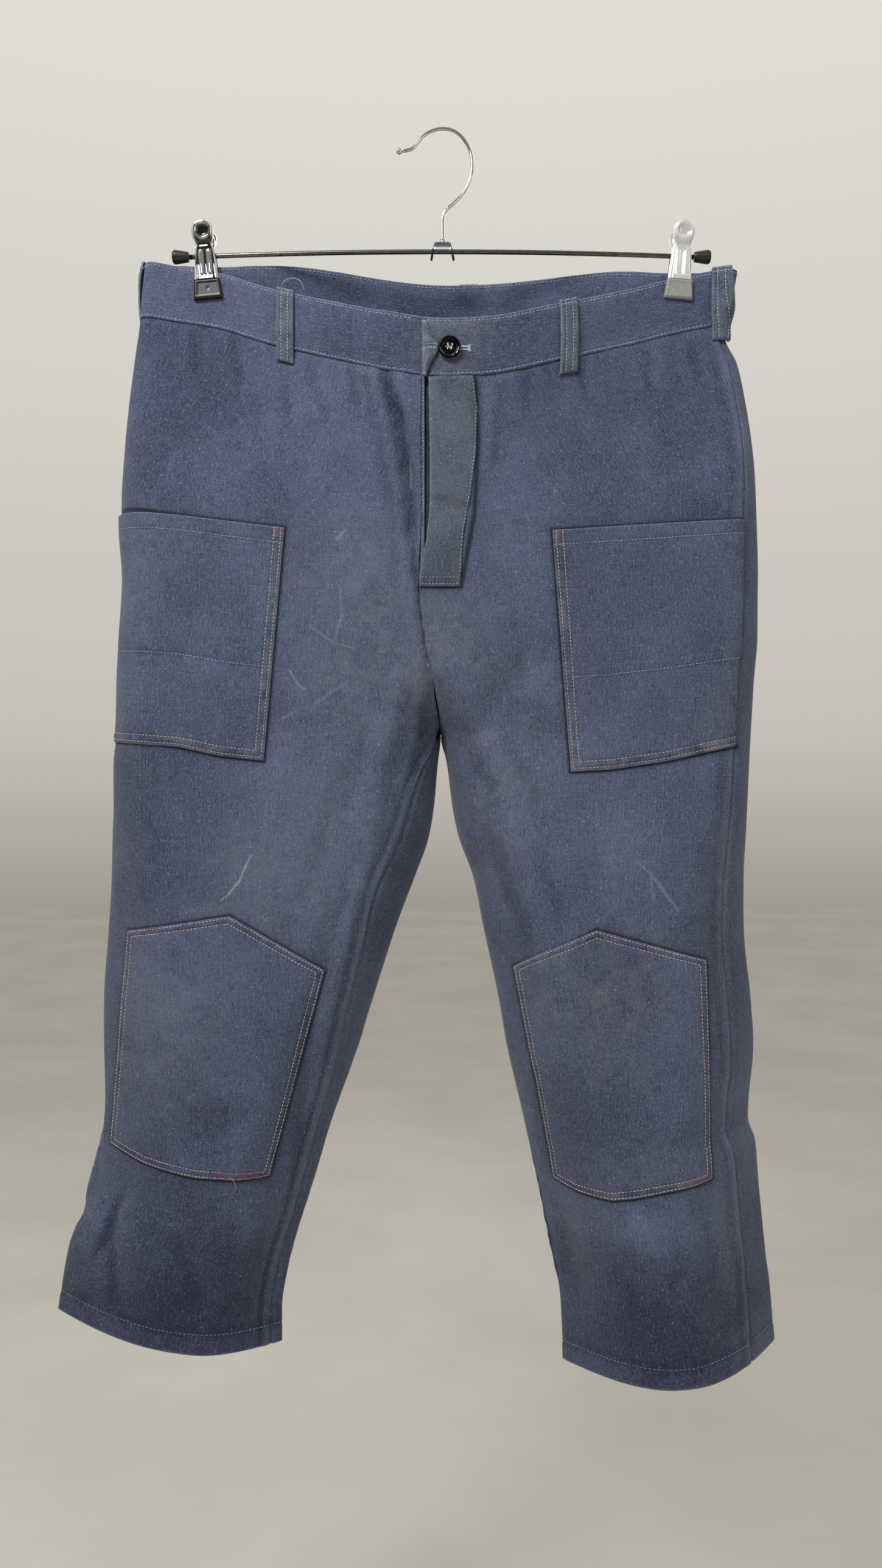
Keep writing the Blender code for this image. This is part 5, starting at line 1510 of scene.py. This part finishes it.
def fly_underlap(made_of, rows):
    """The strip behind the opening: it rises in the slit beside the placket and is kept clear of both
    fronts."""
    levels = SEAM + crowded(-FLY_FOOT + 10 - SEAM, 4.0)
    stretches = np.linspace(-24, -15.6, 6), np.linspace(-14.9, -12.4, 8), np.linspace(-11.8, 14, 12)
    xs = np.concatenate(stretches)
    on_right, on_left = xs < OPENING[0], xs > OPENING[1]
    between = ~(on_right | on_left)
    share = ((xs[between] - OPENING[0]) / (OPENING[1] - OPENING[0]))[:, None]
    points = np.zeros((len(levels), len(xs), 3))
    for i, level in enumerate(levels):
        for half, mine in ((RIGHT, on_right), (LEFT, on_left)):
            places = np.array([half.place_at("front", x, level) for x in xs[mine]])
            points[i, mine] = SKINS[half.name].at(places, np.full(mine.sum(), level))
        start, end = points[i, on_right.sum() - 1], points[i, on_left.argmax()]
        points[i, between] = start * (1 - share) + end * share
        points[i, between, 0] = xs[between]
    points[..., 1] += CLOTH + 0.9
    normals = facing(points)
    x = points[..., 0]
    lift = 1.5 * ease((x + 16.4) / 1.0) * ease((-12.2 - x) / 0.9)
    lift = lift + 0.2 * bumps(x * 0 + 2, points[..., 2] / 9, 75)
    lift = lift - 3.5 * ease((x + 13.2) / 1.2) - 10.0 * ease((OPENING[0] - x) / 1.6)
    # painted shadow: the strip is nearly black where it lies deep in the slit
    tone = 0.02 - 0.60 * ease((x + 13.2) / 0.8) + 0.10 * bumps(x, points[..., 2] / 14, 76)
    inner = np.full_like(lift, -CLOTH)
    made = shell("fly_underlap_cloth", points, normals, lift, inner, made_of, "cloth_fly",
                 tone=tone, warm=np.full_like(tone, 0.3), edge=0.3 * dip(x + 14.9, 0.6))
    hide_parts("fly_underlap")
    column = int(np.abs(xs - UNDERLAP_ROW_X).argmin())
    shown = np.arange(3, 44)
    shown = shown[points[shown, column, 2] > UNDERLAP_ROW_FOOT]
    rows.lay((points, normals, lift), (shown, column), 0.1, 2.6, 1.9)


def belt_loops(made_of, pale):
    """The belt loops: strips folded in three, sewn down at the waistband's top and below its seam."""
    rows = Rows("loop_stitches", pale, "cloth_loops", 0.7)
    for k, row in enumerate(LOOPS):
        loop = dict(zip(LOOP_COLUMNS, row))
        half = RIGHT if loop["half"] == "right" else LEFT
        skin = SKINS[half.name]
        high = SEAM + LOOP_PAST_SEAM - BAND_TOP + LOOP_ABOVE
        drops = crowded(high, 1.6, (0, 0.3, 0.8, 1.5, 2.4))
        levels = BAND_TOP - LOOP_ABOVE + drops
        offs = crowded(LOOP_WIDTH, 1.0, (0, 0.3, 0.8, 1.5)) - LOOP_WIDTH / 2
        middles = np.array([half.place_at(loop["face"], loop["x"], max(level, BAND_TOP)) for level in levels])
        sway = 0.5 * np.sin(math.pi * drops / high) * (1 if k % 2 else -1)
        places = middles[:, None] + offs + sway[:, None]
        level = np.broadcast_to(levels[:, None], places.shape)
        points, normals = skin.at(places, level), skin.normal(places, level)
        drop, off = np.broadcast_to(drops[:, None], places.shape), np.broadcast_to(offs, places.shape)
        share = drop / high
        inner = LOOP_FOOT + loop["stands_off"] * np.sin(math.pi * share) ** 0.6
        side = LOOP_WIDTH / 2 - np.abs(off)
        ends = np.minimum(drop, high - drop)
        lift = inner + 1.9 + 0.35 * dip(np.abs(off) - 5.6, 1.2) - 0.40 * dip(np.abs(off) - LOOP_ROW, 0.7)
        lift = lift + 0.25 * dip(off, 2.0) + roll(side, 0.9, 0.7) + roll(ends, 0.9, 0.5)
        lift = lift + 0.22 * bumps(off / 4 + 5 * k, drop / 6, 80 + k) - 0.7 * dip(drop - 2.5, 1.6) * (k != 4)
        tone = 0.02 + 0.12 * bumps(off / 3, drop / 9, 81 + k) + 0.14 * dip(side, 1.1)
        tone = tone + 0.10 * dip(drop - high / 2, 12)
        # painted shade in the stitch rows' grooves
        tone = tone - 0.12 * dip(np.abs(off) - LOOP_ROW, 0.7)
        edge = 0.35 * dip(side, 0.8) + 0.5 * dip(drop, 1.2) + 0.4 * dip(high - drop, 1.0)
        made = shell(loop["name"] + "_cloth", points, normals, lift, inner, made_of, "cloth_loops",
                     tone=tone, warm=np.full_like(tone, 0.35), edge=edge)
        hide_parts(loop["name"])
        sheet = points, normals, lift
        for x in (-LOOP_ROW, LOOP_ROW):
            rows.lay(sheet, (slice(3, -2), int(np.abs(offs - x).argmin())), 0.08, 2.5, 1.9)
        for i in (3, 5):
            rows.lay(sheet, (i, slice(2, -2)), 0.12, 1.5, 1.4, 0.4)
    rows.make()


def lathe(profile, sides, wave=None):
    """Points and faces of a solid turned about Z, from (radius, height) pairs. A radius of 0 is a tip."""
    verts, faces, rings = [], [], []
    for radius, height in profile:
        ring = [len(verts) + i for i in range(1 if radius == 0 else sides)]
        for i in range(len(ring)):
            angle = 2 * math.pi * i / sides
            rise = wave(radius, angle) if wave else 0.0
            verts.append((radius * math.cos(angle), radius * math.sin(angle), height + rise))
        rings.append(ring)
    for low, high in zip(rings, rings[1:]):
        for i in range(sides):
            k = (i + 1) % sides
            corners = [low[i % len(low)], low[k % len(low)], high[k % len(high)], high[i % len(high)]]
            faces.append(tuple(dict.fromkeys(corners)))
    return verts, faces


def rounded(corners, steps=4):
    """A turned profile with its inner corners rounded."""
    return [(max(0.0, float(r)), float(h)) for r, h in rounded_line(corners, steps, 0.35)]


def rounded_line(corners, steps, cut_back):
    """A line with its inner corners rounded, each from this share of the way to the next corner."""
    corners = [np.array(c, float) for c in corners]
    made = [corners[0]]
    for before, at, after in zip(corners, corners[1:], corners[2:]):
        start, end = at + (before - at) * cut_back, at + (after - at) * cut_back
        for share in np.linspace(0, 1, steps):
            made.append(start * (1 - share) ** 2 + at * 2 * share * (1 - share) + end * share**2)
    made.append(corners[-1])
    return np.array(made)


def button(made_of, pale):
    """The domed shank button with a knurled rim, and the buttonhole's stitched end beside it."""
    middle_x, middle_z = BUTTON_AT
    skin = SKINS["left"]
    place = LEFT.place_at("front", middle_x, BUTTON_LEVEL)
    seat = -float(skin.at(np.array(place), np.array(BUTTON_LEVEL))[1])

    def wave(radius, angle):
        knurl = 0.10 * math.cos(angle * 40) * math.exp(-(((radius - 6.7) / 0.5) ** 2))
        dents = 0.30 * math.sin(angle * 3 + 0.8) * math.exp(-(((radius - 2.6) / 0.9) ** 2))
        return knurl + dents

    verts, faces = lathe(rounded(BUTTON_PROFILE), 80, wave)
    turned = [(x + middle_x, -seat - 0.9 - z, y + middle_z) for x, y, z in verts]
    made = piece("waist_button_cap", turned, faces, made_of)
    fix_normals(made)
    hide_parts("waist_button")
    rows = Rows("buttonhole_stitches", pale, "cloth_waistband", 0.75)

    def stitch(corners, above, pitch, long, slant=0.0):
        """One stitch between two (x, z) points, this far above the skin."""
        spots, normals = [], []
        for x, z in corners:
            place = skin.place_of("front", x, z)
            level = np.array(float(skin.level_at(place, np.array(z))))
            normals.append(skin.normal(place, level))
            spots.append(skin.at(place, level) + normals[-1] * above)
        rows.add(spots, normals, pitch, long, slant)

    hole_z = middle_z + 0.4
    for way in (-1.0, 1.0):
        for x in np.linspace(*BUTTONHOLE, 13):
            stitch(((x, hole_z + way * 0.4), (x, hole_z + way * 1.7)), 0.75, 2.0, 1.9, 0.1)
    for z in np.linspace(middle_z - 1.8, middle_z + 2.6, 7):
        stitch(((BUTTONHOLE_TACK[0], z), (BUTTONHOLE_TACK[1], z)), 0.85, 2.4, 2.3)
    rows.make()


# Hanger

def tube(points, radii, sides):
    """Verts and faces of a round closed bar along points in space, with a radius at each."""
    points = np.asarray(points, float)
    along = np.gradient(points, axis=0)
    along /= np.linalg.norm(along, axis=1, keepdims=True)
    side = np.cross(along[0], (0.0, 1.0, 0.0) if abs(along[0][1]) < 0.9 else (1.0, 0.0, 0.0))
    verts, faces = [], []
    for point, way, radius in zip(points, along, np.broadcast_to(radii, len(points))):
        side = side - way * side.dot(way)
        side /= np.linalg.norm(side)
        other = np.cross(way, side)
        for i in range(sides):
            angle = 2 * math.pi * i / sides
            verts.append(point + (side * math.cos(angle) + other * math.sin(angle)) * radius)
    for ring in range(len(points) - 1):
        for i in range(sides):
            a, b = ring * sides + i, ring * sides + (i + 1) % sides
            faces.append((a, b, b + sides, a + sides))
    faces.append(tuple(range(sides - 1, -1, -1)))
    last = (len(points) - 1) * sides
    faces.append(tuple(range(last, last + sides)))
    return verts, faces


def bar_height(x):
    """The height of the bowed bar's middle."""
    return BAR_Z - BAR_BOW * (x / BAR_ENDS[1]) ** 2


def smooth_path(values, steps):
    """Values along a path at fractional steps, rounded through every given value."""
    values = np.array(values, float)
    i = np.clip(steps.astype(int), 0, len(values) - 2)
    return curve(values, np.gradient(values), 1, i, steps - i)


def hook(made_of):
    """The hook: bent wire with a ball at its tip and a riveted collar at its foot."""
    steps = np.linspace(0, len(HOOK_PATH) - 1, 190)
    path = np.stack([smooth_path([p[k] for p in HOOK_PATH], steps) for k in (0, 1)], axis=1)
    away = path[0] - path[1]
    away /= np.linalg.norm(away)
    angles = np.radians(np.linspace(3, 152, 16))
    ball = [path[0] + away * BALL * (0.9 + math.cos(a)) for a in angles]
    path3 = [(x, 0.0, z) for x, z in ball] + [(x, 0.0, z) for x, z in path[1:]]
    radii = [BALL * math.sin(a) for a in angles] + [WIRE / 2] * (len(path) - 1)
    collar = BRACKET_TOP + GAP
    for radius, height in COLLAR:
        path3.append((0.0, 0.0, collar + height))
        radii.append(radius)
    verts, faces = tube(path3, radii, 22)
    made = piece("hook_wire_bent", verts, faces, made_of)
    fix_normals(made)
    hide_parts("hanger_hook")


def bar(made_of, black):
    """The round bar and the black caps on its ends."""
    xs = np.linspace(*BAR_ENDS, 60)
    verts, faces = tube([(x, 0, bar_height(x)) for x in xs], BAR_ACROSS / 2, 20)
    made = piece("bar_rod", verts, faces, made_of)
    fix_normals(made)
    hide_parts("hanger_bar")
    for name, end, way in (("bar_end_right", BAR_ENDS[0], -1), ("bar_end_left", BAR_ENDS[1], 1)):
        profile = rounded(((0, 0), (3.3, 0), (3.75, 0.9), (5.1, CAP_LONG - 3.0), (5.2, CAP_LONG - 1.6),
                           (4.3, CAP_LONG), (0, CAP_LONG + 0.3)), 5)
        verts, faces = lathe(profile, 32)
        z = bar_height(end)
        turned = [(end + way * (GAP + height), x, z + y) for x, y, height in verts]
        made = piece(name + "_cap", turned, faces, black)
        fix_normals(made)
        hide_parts(name)


def bracket(made_of, black):
    """The saddle: a bent strip over the bar, its legs splayed and dipped in black at their feet."""
    thick, deep = BRACKET_STRIP
    leg = [(-8.9, BRACKET_FOOT), (-7.5, BAR_Z + 0.6), (-6.6, BRACKET_TOP - 1.2), (-5.4, BRACKET_TOP - 0.05)]
    outline = leg + [(-x, z) for x, z in leg[::-1]]
    corners = rounded_line(outline, 6, 0.3)
    tangent = np.gradient(corners, axis=0)
    tangent /= np.linalg.norm(tangent, axis=1, keepdims=True)
    inward = np.stack([tangent[:, 1], -tangent[:, 0]], axis=1)
    across = np.array([-0.5, -0.46, -0.36, 0, 0.36, 0.46, 0.5])
    points = np.zeros((len(corners), len(across), 3))
    points[..., 0] = corners[:, :1]
    points[..., 2] = corners[:, 1:]
    near_foot = np.clip((corners[:, 1] - BRACKET_FOOT) / 7.0, 0, 1)
    points[..., 1] = across * deep * (0.55 + 0.45 * near_foot ** 0.6)[:, None]
    normals = np.zeros_like(points)
    normals[..., 0] = -inward[:, :1]
    normals[..., 2] = -inward[:, 1:]
    edge = (0.5 - np.abs(across)) * deep
    outer = np.broadcast_to(roll(edge, 0.5, 0.3), points.shape[:2])
    inner = -thick - outer
    made = shell("bracket_strip", points, normals, outer, inner, made_of, "hanger_chrome")
    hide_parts("hanger_bracket")
    for name, rows in (("bracket_foot_right", slice(0, 5)), ("bracket_foot_left", slice(-5, None))):
        over, under = outer[rows] + DIPPED, inner[rows] - DIPPED
        shell(name, points[rows], normals[rows], over, under, black, "hanger_black")


def clip(side, middle, lean, reflection_dark, steel, pads, springs):
    """A clip: two pressed jaws with rolled edges, ribs and a dished finger end, their pads and spring.
    The fourth argument sets how dark the painted reflection is in the jaws' dish and hollows and beside their
    ribs."""
    lean = math.radians(lean)
    wide, thick, high = PAD
    grip = GRIP + 0.35

    def tilted(x, y, z):
        dz = z - PAD_TOP
        return np.stack([middle + x * math.cos(lean) + dz * math.sin(lean), y,
                         PAD_TOP + dz * math.cos(lean) - x * math.sin(lean)], axis=-1)

    for face, way in (("front", FRONTWARD), ("back", BACKWARD)):
        heights = np.concatenate([np.linspace(0.3, 44, 74), np.linspace(44.5, 46.9, 9)])
        share = np.sin(np.linspace(-1, 1, 41) * math.pi / 2)
        over = heights - HEAD_ROUND[0]
        arc = np.sqrt(np.maximum(HEAD_ROUND[1] ** 2 - over**2, 0.3))
        half = np.where(over > 0, arc, smooth(JAW, heights))
        height, across = np.meshgrid(heights, share, indexing="ij")
        x = across * half[:, None]
        stand = smooth(JAW_STAND, heights)[:, None] + 0 * x
        points = tilted(x * (1 + 0.06 * ease((height - 30) / 6)), way * stand, PAD_TOP + height * HEAD_DROP)
        normals = facing(points, way)
        edge = half[:, None] - np.abs(x)
        away = np.hypot(x, height - HEAD_AT)
        body = ease((29 - height) / 3)
        lift = -1.5 * (1 - ease(edge / 1.7)) - 0.4 * dip(edge - 2.3, 0.6) * body
        rib_ends = ease((height - 3.5) / 1.6) * ease((24.5 - height) / 1.6)
        lift = lift + 0.85 * ease((1.15 - np.abs(np.abs(x) - 3.1)) / 0.9) * rib_ends
        lift = lift - 0.35 * ease((1.3 - np.abs(x)) / 0.8) * rib_ends
        lift = lift - 1.25 * ease((5.3 - away) / 2.6) + 0.35 * dip(away - 5.9, 0.7)
        lift = lift - 0.8 * dip(height - 29.3, 1.8)
        rib_field = ease((height - 2.6) / 1.4) * ease((25.5 - height) / 1.6)
        beside_ribs = np.maximum(ease((1.1 - np.abs(x)) / 0.5), ease((np.abs(x) - 4.7) / 0.5))
        # painted reflection: the dish, the hollows above the pad and the flats beside the ribs are darkened
        # as if they mirrored a dark room
        painted_reflection = np.maximum(ease((5.2 - away) / 0.9), (1 - rib_field) * ease((6.0 - away) / -1.2 + 1))
        painted_reflection = np.maximum(painted_reflection, rib_field * beside_ribs)
        painted_reflection = reflection_dark * painted_reflection * ease((edge - 1.0) / 0.6) * (1 - dip(away - 6.2, 0.8))
        made = shell(f"{side}_jaw_{face}", points, normals, lift, lift - JAW_WALL, steel, "clip_steel",
                     tone=painted_reflection)
        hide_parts(f"{side}_clip_{face}")

        down = crowded(high, 0.7, (0, 0.15, 0.4, 0.8, 1.3))
        spread = crowded(2, 0.09, (0, 0.02, 0.05, 0.09, 0.14)) - 1
        drop, across = np.meshgrid(down, spread, indexing="ij")
        half = wide / 2 - 1.3 + 1.3 * drop / high
        x = across * half
        points = tilted(x, way * (grip + thick) * np.ones_like(x), PAD_TOP - drop)
        normals = facing(points, way)
        rim = np.minimum(half - np.abs(x), np.minimum(drop, high - drop))
        lift = -0.9 * (1 - ease(rim / 1.1)) + 0.12 * dip(rim - 1.5, 0.5) - 0.25 * ease((rim - 2.0) / 0.6)
        lift = lift - 0.45 * dip(np.hypot(x - 0.3, (drop - 7.0) * 0.6), 0.6)
        made = shell(f"{side}_pad_{face}_rubber", points, normals, lift, np.full_like(lift, -thick), pads,
                     "clip_pads")
        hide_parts(f"{side}_pad_{face}")

    across = middle + math.tan(lean) * (bar_height(middle) - PAD_TOP)
    radius, wire, long, count = SPRING
    turns = np.linspace(0, count, 170)
    angle = turns * 2 * math.pi
    x = across - long / 2 + long * turns / count
    coil = np.stack([x, radius * np.cos(angle), bar_height(x) + radius * np.sin(angle)], axis=1)
    verts, faces = tube(coil, wire, 8)
    made = piece(f"{side}_spring_coil", verts, faces, springs)
    fix_normals(made)
    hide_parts(f"{side}_clip_spring")


# Loose threads and hem stitches

def loose_threads(pale, red):
    """Ends of thread that stand off the cloth."""
    ends = (
        ("loose_end_waist", pale, ((-120.5, -14.5, -125.0), (-117.0, -16.0, -120.0), (-110.5, -17.0, -118.6),
                                   (-105.0, -17.5, -121.5), (-102.5, -17.0, -127.5))),
        ("loose_end_side", pale, ((-219.5, -12.0, -107.0), (-222.5, -12.5, -108.5), (-225.0, -12.0, -112.0))),
        ("loose_end_pocket", pale, ((-221.0, -37.5, -456.5), (-220.8, -38.6, -452.0), (-218.0, -39.0, -450.2),
                                    (-215.0, -38.4, -449.6))),
        ("loose_end_knee", red, ((-154.0, -44.0, -776.8), (-151.0, -45.0, -777.2), (-149.2, -45.0, -780.5),
                                 (-148.4, -44.4, -785.0))),
    )
    for name, made_of, points in ends:
        points = np.array(points)
        steps = np.linspace(0, len(points) - 1, 26)
        path = np.stack([smooth_path(points[:, k], steps) for k in range(3)], axis=1)
        verts, faces = tube(path, 0.2, 6)
        fix_normals(piece(name, verts, faces, made_of))


def hem_rows(hem_thread):
    """A row of stitches round each hem."""
    rows = Rows("hem_stitches", hem_thread, "cloth_panels", 0.75)
    for half in (RIGHT, LEFT):
        skin = SKINS[half.name]
        level = half.hem - HEM_ROW
        for face in ("front", "back"):
            start, end = half.seams(face, level)
            places = np.linspace(start, end, 120)[2:-2]
            rows.add(*on_cloth(skin, face, places, np.full(len(places), level), 0.0), 3.1, 1.9)
    rows.make()


# Stage

def stage():
    """A pale floor, the studio round it and the lights."""
    floor_plane()
    studio()
    for name, at, aim, size, power in LIGHTS:
        light = bpy.data.lights.new(name, "AREA")
        light.shape = "RECTANGLE"
        light.size, light.size_y = size
        light.energy = power
        lamp = bpy.data.objects.new(name, light)
        lamp.location = at
        lamp.rotation_euler = (Vector(aim) - Vector(at)).to_track_quat("-Z", "Y").to_euler()
        bpy.context.scene.collection.objects.link(lamp)


def floor_plane():
    """The pale floor."""
    mesh = bpy.data.meshes.new("floor")
    corners = [(-6, -4, FLOOR_Z), (6, -4, FLOOR_Z), (6, 8, FLOOR_Z), (-6, 8, FLOOR_Z)]
    mesh.from_pydata(corners, [], [(0, 1, 2, 3)])
    floor = bpy.data.objects.new("floor", mesh)
    bpy.context.scene.collection.objects.link(floor)
    s = Shader("floor_paint")
    cloud = s.ramp(s.noise(s.space(), 2.2, 4.0, 0.6), 0.3, 0.7)
    s.set(Base_Color=s.mix(cloud, srgb(196, 193, 184), srgb(206, 203, 195)), Roughness=0.9)
    mesh.materials.append(s.material)


def studio():
    """A plain bright room: its brightness rises with height, and is less on the camera's side."""
    world = bpy.data.worlds.new("studio")
    world.use_nodes = True
    tree = world.node_tree
    way = tree.nodes.new("ShaderNodeTexCoord")
    parts = tree.nodes.new("ShaderNodeSeparateXYZ")
    ramp = tree.nodes.new("ShaderNodeValToRGB")
    tree.links.new(way.outputs["Generated"], parts.inputs[0])
    rise = tree.nodes.new("ShaderNodeMath")
    rise.operation = "MULTIPLY_ADD"
    rise.inputs[1].default_value = rise.inputs[2].default_value = 0.5
    tree.links.new(parts.outputs[2], rise.inputs[0])
    tree.links.new(rise.outputs[0], ramp.inputs[0])
    stops = ramp.color_ramp.elements
    for stop, (position, colour) in zip(stops, (SKY[0], SKY[-1])):
        stop.position, stop.color = position, srgb(*colour)
    for position, colour in SKY[1:-1]:
        stops.new(position).color = srgb(*colour)
    tree.links.new(ramp.outputs[0], tree.nodes["Background"].inputs["Color"])
    behind = tree.nodes.new("ShaderNodeMapRange")
    behind.inputs["From Min"].default_value, behind.inputs["From Max"].default_value = -0.5, 0.2
    behind.inputs["To Min"].default_value = IN_FRONT
    tree.links.new(parts.outputs[1], behind.inputs["Value"])
    tree.links.new(behind.outputs[0], tree.nodes["Background"].inputs["Strength"])
    bpy.context.scene.world = world
    bpy.context.scene.view_settings.view_transform = "Standard"


def camera():
    """The camera that took the photograph."""
    lens = bpy.data.cameras.new("camera")
    lens.sensor_width = 36
    lens.lens = 36 * FOCAL_PIXELS / FRAME_LONG
    made = bpy.data.objects.new("camera", lens)
    made.location = CAMERA_AT
    made.rotation_euler = (math.pi / 2, 0, 0)
    bpy.context.scene.collection.objects.link(made)
    bpy.context.scene.camera = made


def sewn_edges():
    """The edges of what is sewn on the front panels, as (x, z) in order."""
    edges = [list(top) + list(foot[::-1]) + [top[0]] for top, foot in (RIGHT_KNEE, LEFT_KNEE)]
    pockets = (RIGHT_POCKET, RIGHT_POCKET_ENDS), (LEFT_POCKET, LEFT_POCKET_ENDS)
    for (top, foot), (top_end, foot_end) in pockets:
        edges.append([top_end] + list(top[1:]) + list(foot[:0:-1]) + [foot_end])
    return edges + [PLACKET_EDGE]


def main():
    camera()
    stage()
    garment()
    hanger()


def garment():
    """The trousers, piece by piece."""
    dark, light, grey = srgb(36, 41, 65), srgb(112, 121, 149), srgb(120, 121, 130)
    panels = twill("twill_panels", dark, light, grey, 1, outlines=sewn_edges())
    band = twill("twill_waistband", dark, light, grey, -1)
    pockets = twill("twill_pockets", dark, light, grey, 1)
    knees = twill("twill_knees", dark, light, grey, 1)
    fly_cloth = twill("twill_fly", srgb(38, 44, 60), srgb(116, 124, 146), grey, 1, streaks=0.8)
    loops = twill("twill_loops", srgb(30, 37, 52), srgb(112, 122, 144), grey, 1)
    pale = thread("thread_pale", srgb(160, 170, 196), srgb(120, 130, 158))
    bright = thread("thread_bright", srgb(184, 192, 210), srgb(148, 156, 178))
    tan = thread("thread_tan", srgb(192, 184, 190), srgb(156, 146, 156))
    pink = thread("thread_pink", srgb(212, 196, 202), srgb(178, 152, 166))
    red = thread("thread_red", srgb(216, 132, 138), srgb(186, 112, 124))
    salmon = thread("thread_salmon", srgb(226, 176, 172), srgb(206, 142, 142))
    hems = thread("thread_hem", srgb(122, 140, 172), srgb(92, 106, 138))

    for half in (RIGHT, LEFT):
        for face in ("front", "back"):
            panel(half, face, panels)
    waistband(band, pale)
    waistband_end(fly_cloth, bright)
    fly(fly_cloth, pale)
    belt_loops(loops, bright)
    button(rubbed_metal("button_black", srgb(30, 30, 31), srgb(214, 212, 206), BUTTON_AT), bright)

    pocket_thread = Rows("pocket_stitches", tan, "cloth_pockets", 0.66)
    hem_thread = Rows("pocket_hem_stitches", pale, "cloth_pockets", 0.65)
    tacks = Rows("pocket_tacks", salmon, "cloth_pockets", 1.2)
    for name, patch, mid_rows, tack in (("right_pocket", Patch(RIGHT, *RIGHT_POCKET), (0.066, 0.60), 0.05),
                                        ("left_pocket", Patch(LEFT, *LEFT_POCKET), (0.062, 0.61), 0.085)):
        sewn_on(name, patch, pockets, "cloth_pockets", ("inner", "foot"), POCKET_ROWS, pocket_thread,
                stand=1.2, bows=0.6, grime=0.55, mid_rows=mid_rows, mid_thread=hem_thread,
                mended={"inner": (0, tack)}, mend_thread=tacks)
    pocket_thread.make()
    tacks.make()
    hem_thread.make()
    knee_thread = Rows("knee_stitches", pink, "cloth_knees", 0.66)
    red_thread = Rows("knee_mends", red, "cloth_knees", 0.8)
    for name, half, lines, mended in (
        ("right_knee_patch", RIGHT, RIGHT_KNEE, {"foot": (0.70, 1), "outer": (0.97, 1)}),
        ("left_knee_patch", LEFT, LEFT_KNEE, {"foot": (0, 0.20), "outer": (0.95, 1)}),
    ):
        sewn_on(name, Patch(half, *lines), knees, "cloth_knees", ("outer", "inner", "foot", "top"), KNEE_ROWS,
                knee_thread, grime=0.35, seed=54, mended=mended, mend_thread=red_thread)
    knee_thread.make()
    red_thread.make()
    hem_rows(hems)
    loose_threads(bright, red)


def hanger():
    """The hanger: its hook, bar, bracket and two clips."""
    chrome = metal("chrome_plate", (0.80, 0.80, 0.80, 1), 0.03, 0.07)
    rod = metal("dull_rod", (0.24, 0.24, 0.23, 1), 0.16, 0.34, 300.0, 0.45)
    hook(metal("chrome_wire", (0.78, 0.78, 0.78, 1), 0.04, 0.09))
    black = moulded("black_plastic", srgb(26, 25, 24), srgb(52, 51, 48), 0.42)
    bar(rod, black)
    bracket(chrome, black)
    rubber = moulded("black_rubber", srgb(15, 15, 15), srgb(34, 34, 34), 0.35)
    springs = metal("spring_wire", (0.5, 0.5, 0.5, 1), 0.2, 0.4)
    dusty = moulded("grey_rubber", srgb(140, 141, 136), srgb(168, 168, 164), 0.5)
    satin = metal("satin_plate", (0.95, 0.95, 0.94, 1), 0.14, 0.24, metallic=0.35)
    clip("right", -CLIP_X + RIGHT_CLIP_SHIFT, -CLIP_LEAN, 0.92, chrome, rubber, springs)
    clip("left", CLIP_X, CLIP_LEAN, 0.22, satin, dusty, springs)


main()
